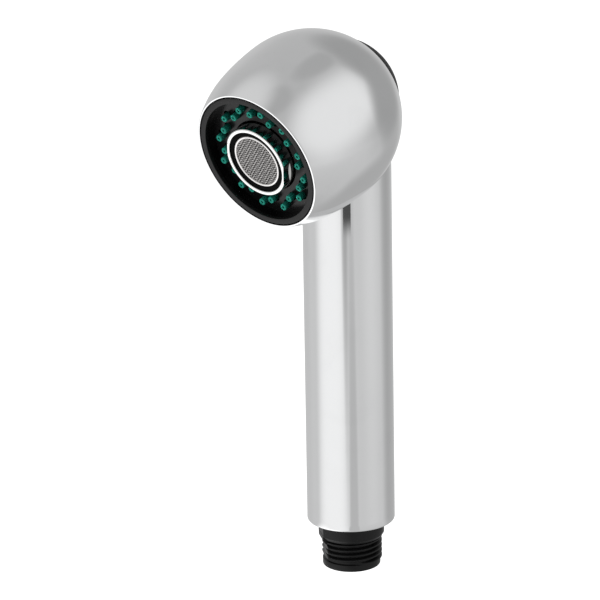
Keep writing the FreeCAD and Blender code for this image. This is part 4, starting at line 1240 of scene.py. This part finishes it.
@dataclass
class Aerator:
    """The stream outlet: plated housing, black cage, steel rim and woven wire."""

    r: float = 12.4
    bore: float = 11.45
    mouth: float = 11.1
    low: float = 33.9
    high: float = 46.95
    lip: float = 1.1
    bevel: float = 0.4
    flats: tuple[Point, Point] = ((11.85, -15.0), (11.85, 165.0))
    flat_deep: float = 3.3
    flat_step: float = 0.005
    cage: tuple[float, float, float] = (9.5, 11.35, 11.0)
    cage_slip: float = 0.1
    cage_low: float = 39.4
    cage_high: float = 46.4
    ledge: tuple[float, float, float] = (8.6, 43.6, 44.4)
    rim: tuple[float, float, float, float] = (8.55, 9.4, 44.5, 46.4)
    mesh_r: float = 8.53
    mesh_mid: float = 45.95
    wire: float = 0.1
    weave: float = 0.105
    mesh_pitch: float = 0.78
    mesh_turn: float = 3.0

    def build(self, finishes: Finishes) -> None:
        """Builds and dresses the outlet.

        Args:
            finishes: the materials.
        """
        housing = Surface("aerator_housing_form")
        step = self.high - self.flat_deep
        outline = Outline().to(self.r, self.low, 0.3).to(self.r, step - self.flat_step).to(self.r, step)
        outline.to(self.r, self.high, self.bevel).to(self.mouth, self.high, 0.3)
        inside = self.high - self.lip
        outline.to(self.mouth, inside).to(self.bore, inside).to(self.bore, self.low)
        housing.turn(outline, 384, HEAD, flats(self.flats, step - 0.001, self.high))
        ride(housing.build(finishes["chrome_housing"]), Body.DIVERTER, "chrome_housing", "aerator_housing")

        inner, outer, nose = self.cage
        lip = inside - self.cage_slip
        ledge_r, ledge_low, ledge_high = self.ledge
        cage = Surface("aerator_cage_form")
        outline = Outline().to(inner, self.cage_low).to(outer, self.cage_low).to(outer, lip).to(nose, lip)
        outline.to(nose, self.cage_high, 0.2).to(inner, self.cage_high, 0.2).to(inner, ledge_high)
        outline.to(ledge_r, ledge_high).to(ledge_r, ledge_low).to(inner, ledge_low)
        cage.turn(outline, 192, HEAD)
        ride(cage.build(finishes["matt_black"]), Body.DIVERTER, "black_plastic", "aerator_cage")

        rim_in, rim_out, rim_low, rim_high = self.rim
        rim = Surface("aerator_rim_form")
        outline = Outline().to(rim_in, rim_low).to(rim_out, rim_low).to(rim_out, rim_high, 0.35)
        outline.to(rim_in, rim_high, 0.35)
        rim.turn(outline, 192, HEAD)
        ride(rim.build(finishes["steel_mesh"]), Body.DIVERTER, "steel_mesh", "aerator_rim")

        wires = self.woven(finishes["steel_mesh"])
        wires.transform(metres(HEAD) @ Matrix.Translation((0.0, 0.0, self.mesh_mid * MM)))
        screen = finished(wires, "aerator_mesh_wires", finishes["steel_mesh"], 60.0)
        ride(screen, Body.DIVERTER, "steel_mesh", "aerator_mesh")

    def woven(self, material: bpy.types.Material) -> bpy.types.Mesh:
        """Weaves the round wire screen with geometry nodes.

        Args:
            material: the wires' finish.

        Returns:
            The screen's mesh, in metres, flat about its own middle.
        """
        tree = Repeater("woven_screen")
        g = tree.graph
        radius = tree.given("Radius", self.mesh_r * MM)
        pitch = tree.given("Pitch", self.mesh_pitch * MM)
        wire = tree.given("Wire radius", self.wire * MM)
        lift = tree.given("Weave height", self.weave * MM)
        per_side = int(self.mesh_r / self.mesh_pitch)
        count = tree.given("Wires", 2 * per_side + 1, "NodeSocketInt")
        across = g.add("ShaderNodeCombineXYZ", {0: pitch})
        start = g.add("ShaderNodeCombineXYZ", {0: g.math("MULTIPLY", pitch, -float(per_side))})
        spots = g.add("GeometryNodeMeshLine", {"Count": count, "Start Location": start.outputs[0],
                                               "Offset": across.outputs[0]}, mode="OFFSET")
        strand = g.add("GeometryNodeCurvePrimitiveLine", {"Start": (0.0, -1.0, 0.0), "End": (0.0, 1.0, 0.0)})
        fine = g.add("GeometryNodeResampleCurve", {"Curve": strand.outputs[0], "Count": 150})
        seat = g.add("ShaderNodeSeparateXYZ", {0: g.add("GeometryNodeInputPosition").outputs[0]})
        left = g.math("SUBTRACT", g.math("MULTIPLY", radius, radius),
                      g.math("MULTIPLY", seat.outputs[0], seat.outputs[0]))
        chord = g.math("SQRT", g.math("MAXIMUM", left, 1e-9))
        stretch = g.add("ShaderNodeCombineXYZ", {0: 1.0, 1: chord, 2: 1.0})
        laid = g.add("GeometryNodeInstanceOnPoints", {
            "Points": spots.outputs[0], "Instance": fine.outputs[0], "Scale": stretch.outputs[0]})
        real = g.add("GeometryNodeRealizeInstances", {"Geometry": laid.outputs[0]})
        here = g.add("ShaderNodeSeparateXYZ", {0: g.add("GeometryNodeInputPosition").outputs[0]})
        wave = [g.math("COSINE", g.math("MULTIPLY", g.math("DIVIDE", here.outputs[k], pitch), math.pi))
                for k in (0, 1)]
        rise = g.math("MULTIPLY", g.math("MULTIPLY", wave[0], wave[1]), lift)
        section = g.add("GeometryNodeCurvePrimitiveCircle", {"Resolution": 8, "Radius": wire})
        families = []
        for side in (1.0, -1.0):
            bend = g.add("ShaderNodeCombineXYZ", {2: g.math("MULTIPLY", rise, side)})
            bent = g.add("GeometryNodeSetPosition", {"Geometry": real.outputs[0], "Offset": bend.outputs[0]})
            tube = g.add("GeometryNodeCurveToMesh", {
                "Curve": bent.outputs[0], "Profile Curve": section.outputs[0], "Fill Caps": True})
            heading = self.mesh_turn + (90.0 if side < 0 else 0.0)
            turned = g.add("GeometryNodeTransform", {
                "Geometry": tube.outputs[0], "Rotation": (0.0, 0.0, math.radians(heading))})
            families.append(turned.outputs[0])
        both = g.add("GeometryNodeJoinGeometry")
        for family in families:
            g.tree.links.new(family, both.inputs[0])
        return tree.run(both.outputs[0], material)


# ---------------------------------------------------------------- studio


@dataclass(frozen=True)
class Panel:
    """A soft bright or dark area of the light tent.

    Attributes:
        azimuth: degrees to the right of the viewer's side.
        elevation: degrees above the horizon.
        inner: half-width of the full area, in degrees.
        outer: half-width where it has faded out.
        tone: display level from 0 to 1.
    """

    azimuth: float
    elevation: float
    inner: float
    outer: float
    tone: float


def heading_to(azimuth: float, elevation: float) -> Vector:
    """The direction from the sprayer to something in the studio.

    Args:
        azimuth: degrees to the right of the viewer's side.
        elevation: degrees above the horizon.

    Returns:
        The direction, of length 1.
    """
    turn = VIEW_AZIMUTH + math.radians(azimuth)
    tilt = math.radians(elevation)
    return Vector((math.sin(turn) * math.cos(tilt), -math.cos(turn) * math.cos(tilt), math.sin(tilt)))


def linear(tone: float) -> float:
    """A display level as a linear one."""
    return tone / 12.92 if tone <= 0.04045 else ((tone + 0.055) / 1.055) ** 2.4


def grey_of(level: float) -> tuple[float, float, float, float]:
    """A linear grey level as an opaque colour."""
    return level, level, level, 1.0


@dataclass(frozen=True)
class Lamp:
    """A soft round lamp, which the plating doesn't mirror.

    Attributes:
        name: the lamp's name.
        azimuth: degrees to the right of the viewer's side.
        elevation: degrees above the horizon.
        power: its power in watts.
        size: its width in metres.
    """

    name: str
    azimuth: float
    elevation: float
    power: float
    size: float


@dataclass
class Studio:
    """The camera, the pale floor, the soft lamps and the light tent.

    Distances along the view and the floor are in metres, and the rest in millimetres. The dark card
    is given by its direction and, in turn, its distance, half-width, bottom and top.
    """

    distance: float = 1.4859
    elevation: float = 18.30
    roll: float = -0.963
    lens: float = 264.85
    sensor: float = 36.0
    clip: Point = (0.05, 50.0)
    target_shift: Point = (-16.263, -4.682)
    target_height: float = 100.0
    floor_z: float = -0.12
    floor_size: float = 8.0
    floor_tone: float = 0.86
    floor_glow: float = 0.93
    ambient: float = 0.20
    card_way: float = -1.5
    card_at: tuple[float, float, float, float] = (75.0, 11.7, 101.5, 120.0)
    card_fade: float = 9.0
    card_tone: float = 0.29
    plated: float = 0.865
    lamp_distance: float = 1.2
    lamp_set: tuple[Lamp, ...] = (Lamp("key", -46.0, -4.0, 9.0, 0.4), Lamp("top", 20.0, 62.0, 5.0, 0.8))
    base: tuple[Point, ...] = (
        (0.0, 0.66), (0.1, 0.73), (0.18, 0.74), (0.345, 0.77), (0.5, 0.66), (0.75, 0.70), (1.0, 0.69))
    panels: tuple[Panel, ...] = (
        Panel(60, 24, 0, 55, 0.88),
        Panel(142, 34, 0, 38, 0.60),
        Panel(120, 2, 0, 40, 0.61),
        Panel(-47, -29, 0, 50, 0.935),
        Panel(-8, -5, 10, 17, 0.60),
        Panel(8, -29, 9, 15, 0.70),
        Panel(-31, 67, 10, 23, 0.65),
        Panel(-87, 46, 0, 43, 0.80),
        Panel(-163, -17, 0, 54, 0.74),
        Panel(129, 74, 0, 16, 0.64),
        Panel(143, -40, 4, 34, 0.65),
        Panel(-84, -53, 8, 34, 1.12),
    )

    def build(self) -> None:
        """Sets up the whole studio."""
        self.camera()
        self.world()
        self.floor()
        self.lamps()
        self.card()

    def camera(self) -> None:
        """Stands the camera at its place."""
        back = heading_to(0.0, self.elevation)
        right = Vector((math.cos(VIEW_AZIMUTH), math.sin(VIEW_AZIMUTH), 0.0))
        up = back.cross(right)
        across, high = self.target_shift
        target = Vector((0.0, 0.0, self.target_height * MM)) + right * across * MM + up * high * MM
        roll = math.radians(self.roll)
        side = right * math.cos(roll) + up * math.sin(roll)
        top = up * math.cos(roll) - right * math.sin(roll)
        data = bpy.data.cameras.new("camera")
        data.lens, data.sensor_width = self.lens, self.sensor
        data.clip_start, data.clip_end = self.clip
        item = bpy.data.objects.new("camera", data)
        turn = Matrix((side, top, back)).transposed().to_4x4()
        item.matrix_world = Matrix.Translation(target + back * self.distance) @ turn
        bpy.context.scene.collection.objects.link(item)
        bpy.context.scene.camera = item

    def world(self) -> None:
        """Builds the white backdrop and the light tent that the plating mirrors."""
        world = bpy.data.worlds.new("light_tent")
        g = empty_graph(world)
        way = g.add("ShaderNodeTexCoord").outputs["Generated"]
        high = g.add("ShaderNodeSeparateXYZ", {0: way}).outputs[2]
        part = g.math("MULTIPLY", g.math("ADD", high, 1.0), 0.5)
        level = g.ramp(part, [(place, linear(tone) / self.plated) for place, tone in self.base])
        for panel in self.panels:
            toward = heading_to(panel.azimuth, panel.elevation)
            near = g.vector("DOT_PRODUCT", way, toward, output="Value")
            mask = g.add("ShaderNodeMapRange", {
                "Value": near, "From Min": math.cos(math.radians(panel.outer)),
                "From Max": math.cos(math.radians(panel.inner))}, interpolation_type="SMOOTHERSTEP")
            grey = linear(panel.tone) / self.plated
            mix = g.add("ShaderNodeMix", {0: mask.outputs[0], 2: level, 3: grey}, data_type="FLOAT")
            level = mix.outputs[0]
        tent = g.add("ShaderNodeBackground", {"Color": level, "Strength": 1.0})
        plain = g.add("ShaderNodeBackground", {"Color": grey_of(self.ambient), "Strength": 1.0})
        white = g.add("ShaderNodeBackground", {"Color": grey_of(1.0), "Strength": 1.0})
        path = g.add("ShaderNodeLightPath").outputs
        mirrored = g.math("MAXIMUM", path["Is Glossy Ray"], path["Is Transmission Ray"])
        seen = g.add("ShaderNodeMixShader", {0: mirrored, 1: plain.outputs[0], 2: tent.outputs[0]})
        last = g.add("ShaderNodeMixShader", {
            0: path["Is Camera Ray"], 1: seen.outputs[0], 2: white.outputs[0]})
        out = g.add("ShaderNodeOutputWorld")
        g.tree.links.new(last.outputs[0], out.inputs["Surface"])
        bpy.context.scene.world = world

    def sheet(self, name: str, corners: list[Vector], material: bpy.types.Material, *unseen: str) -> None:
        """Stands one flat sheet in the studio.

        Args:
            name: the sheet's name.
            corners: its four corners, in metres.
            material: its finish.
            *unseen: the kinds of ray that it is hidden from.
        """
        mesh = bpy.data.meshes.new(name)
        mesh.from_pydata(corners, [], [(0, 1, 2, 3)])
        mesh.materials.append(material)
        item = bpy.data.objects.new(name, mesh)
        for ray in unseen:
            setattr(item, "visible_" + ray, False)
        bpy.context.scene.collection.objects.link(item)

    def floor(self) -> None:
        """Lays the pale floor well under the sprayer, which hangs in the tent."""
        material = bpy.data.materials.new("pale_floor")
        g = empty_graph(material)
        matt = g.add("ShaderNodeBsdfDiffuse", {"Color": grey_of(self.floor_tone)})
        camera_ray = g.add("ShaderNodeLightPath").outputs["Is Camera Ray"]
        glow = g.add("ShaderNodeEmission", {
            "Color": grey_of(1.0), "Strength": g.math("MULTIPLY", camera_ray, self.floor_glow)})
        both = g.add("ShaderNodeAddShader", {0: matt.outputs[0], 1: glow.outputs[0]})
        out = g.add("ShaderNodeOutputMaterial")
        g.tree.links.new(both.outputs[0], out.inputs["Surface"])
        square = ((-1, -1), (1, -1), (1, 1), (-1, 1))
        corners = [Vector((self.floor_size * x, self.floor_size * y, self.floor_z)) for x, y in square]
        self.sheet("floor", corners, material, "glossy")

    def lamps(self) -> None:
        """Hangs the soft lamps."""
        for lamp in self.lamp_set:
            way = heading_to(lamp.azimuth, lamp.elevation)
            data = bpy.data.lights.new(lamp.name, "AREA")
            data.energy, data.size, data.shape = lamp.power, lamp.size, "DISK"
            item = bpy.data.objects.new(lamp.name, data)
            centre = Vector((0.0, 0.0, self.target_height * MM))
            turn = way.to_track_quat("Z", "Y").to_matrix().to_4x4()
            item.matrix_world = Matrix.Translation(centre + way * self.lamp_distance) @ turn
            item.visible_glossy = False
            bpy.context.scene.collection.objects.link(item)

    def card(self) -> None:
        """Stands a small dark card in front of the grip, which only the plating mirrors: its faint glow gives
        the grip a painted reflection of shade, a dark streak just under the head.
        """
        material = bpy.data.materials.new("dark_card")
        away, half, low, high = (part * MM for part in self.card_at)
        g = empty_graph(material)
        place = g.add("ShaderNodeTexCoord").outputs["Object"]
        height = g.add("ShaderNodeSeparateXYZ", {0: place}).outputs[2]
        cover = g.add("ShaderNodeMapRange", {
            "Value": height, "From Min": low, "From Max": low + self.card_fade * MM,
        }, interpolation_type="SMOOTHSTEP")
        clear = g.add("ShaderNodeBsdfTransparent")
        dark = g.add("ShaderNodeEmission", {
            "Color": grey_of(1.0), "Strength": linear(self.card_tone) / self.plated})
        both = g.add("ShaderNodeMixShader", {0: cover.outputs[0], 1: clear.outputs[0], 2: dark.outputs[0]})
        out = g.add("ShaderNodeOutputMaterial")
        g.tree.links.new(both.outputs[0], out.inputs["Surface"])
        way = heading_to(self.card_way, 0.0)
        side = Vector((-way.y, way.x, 0.0))
        corners = [way * away + side * across + Vector((0.0, 0.0, z))
                   for across, z in ((-half, low), (half, low), (half, high), (-half, high))]
        # The card glows dark so that the plating shows a painted shade streak where the head shades the grip.
        self.sheet("flag", corners, material, "camera", "diffuse", "shadow")


def dress_carried(frame: dict, finishes: Finishes) -> None:
    """Gives every CAD node that stays its own finish.

    Args:
        finishes: the materials.
    """
    slots = {piece["node"]: piece["material_slot"] for piece in frame["record"]["subparts"]}
    slots.update(finishes.CARRIED)
    for name, item in frame["nodes"].items():
        for holder in item.material_slots:
            holder.material = finishes[slots[name]]


def corners(box: tuple[Vector, Vector]) -> list[list[float]]:
    """A box as plain lists."""
    return [list(corner) for corner in box]


def main() -> None:
    """Builds the dressed sprayer and its studio."""
    logging.basicConfig(level=logging.INFO, format="%(name)s: %(message)s")
    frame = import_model()
    bpy.context.scene.view_settings.view_transform = "Standard"
    finishes = Finishes()
    dress_carried(frame, finishes)
    egg = EggHead()
    for part in (egg, Handle(egg), Inlet(), RearButton(), Springs(frame), SprayFace(), Aerator()):
        part.build(finishes)
        LOG.info("%s done", type(part).__name__)
    Studio().build()


if __name__ == "__main__":
    main()
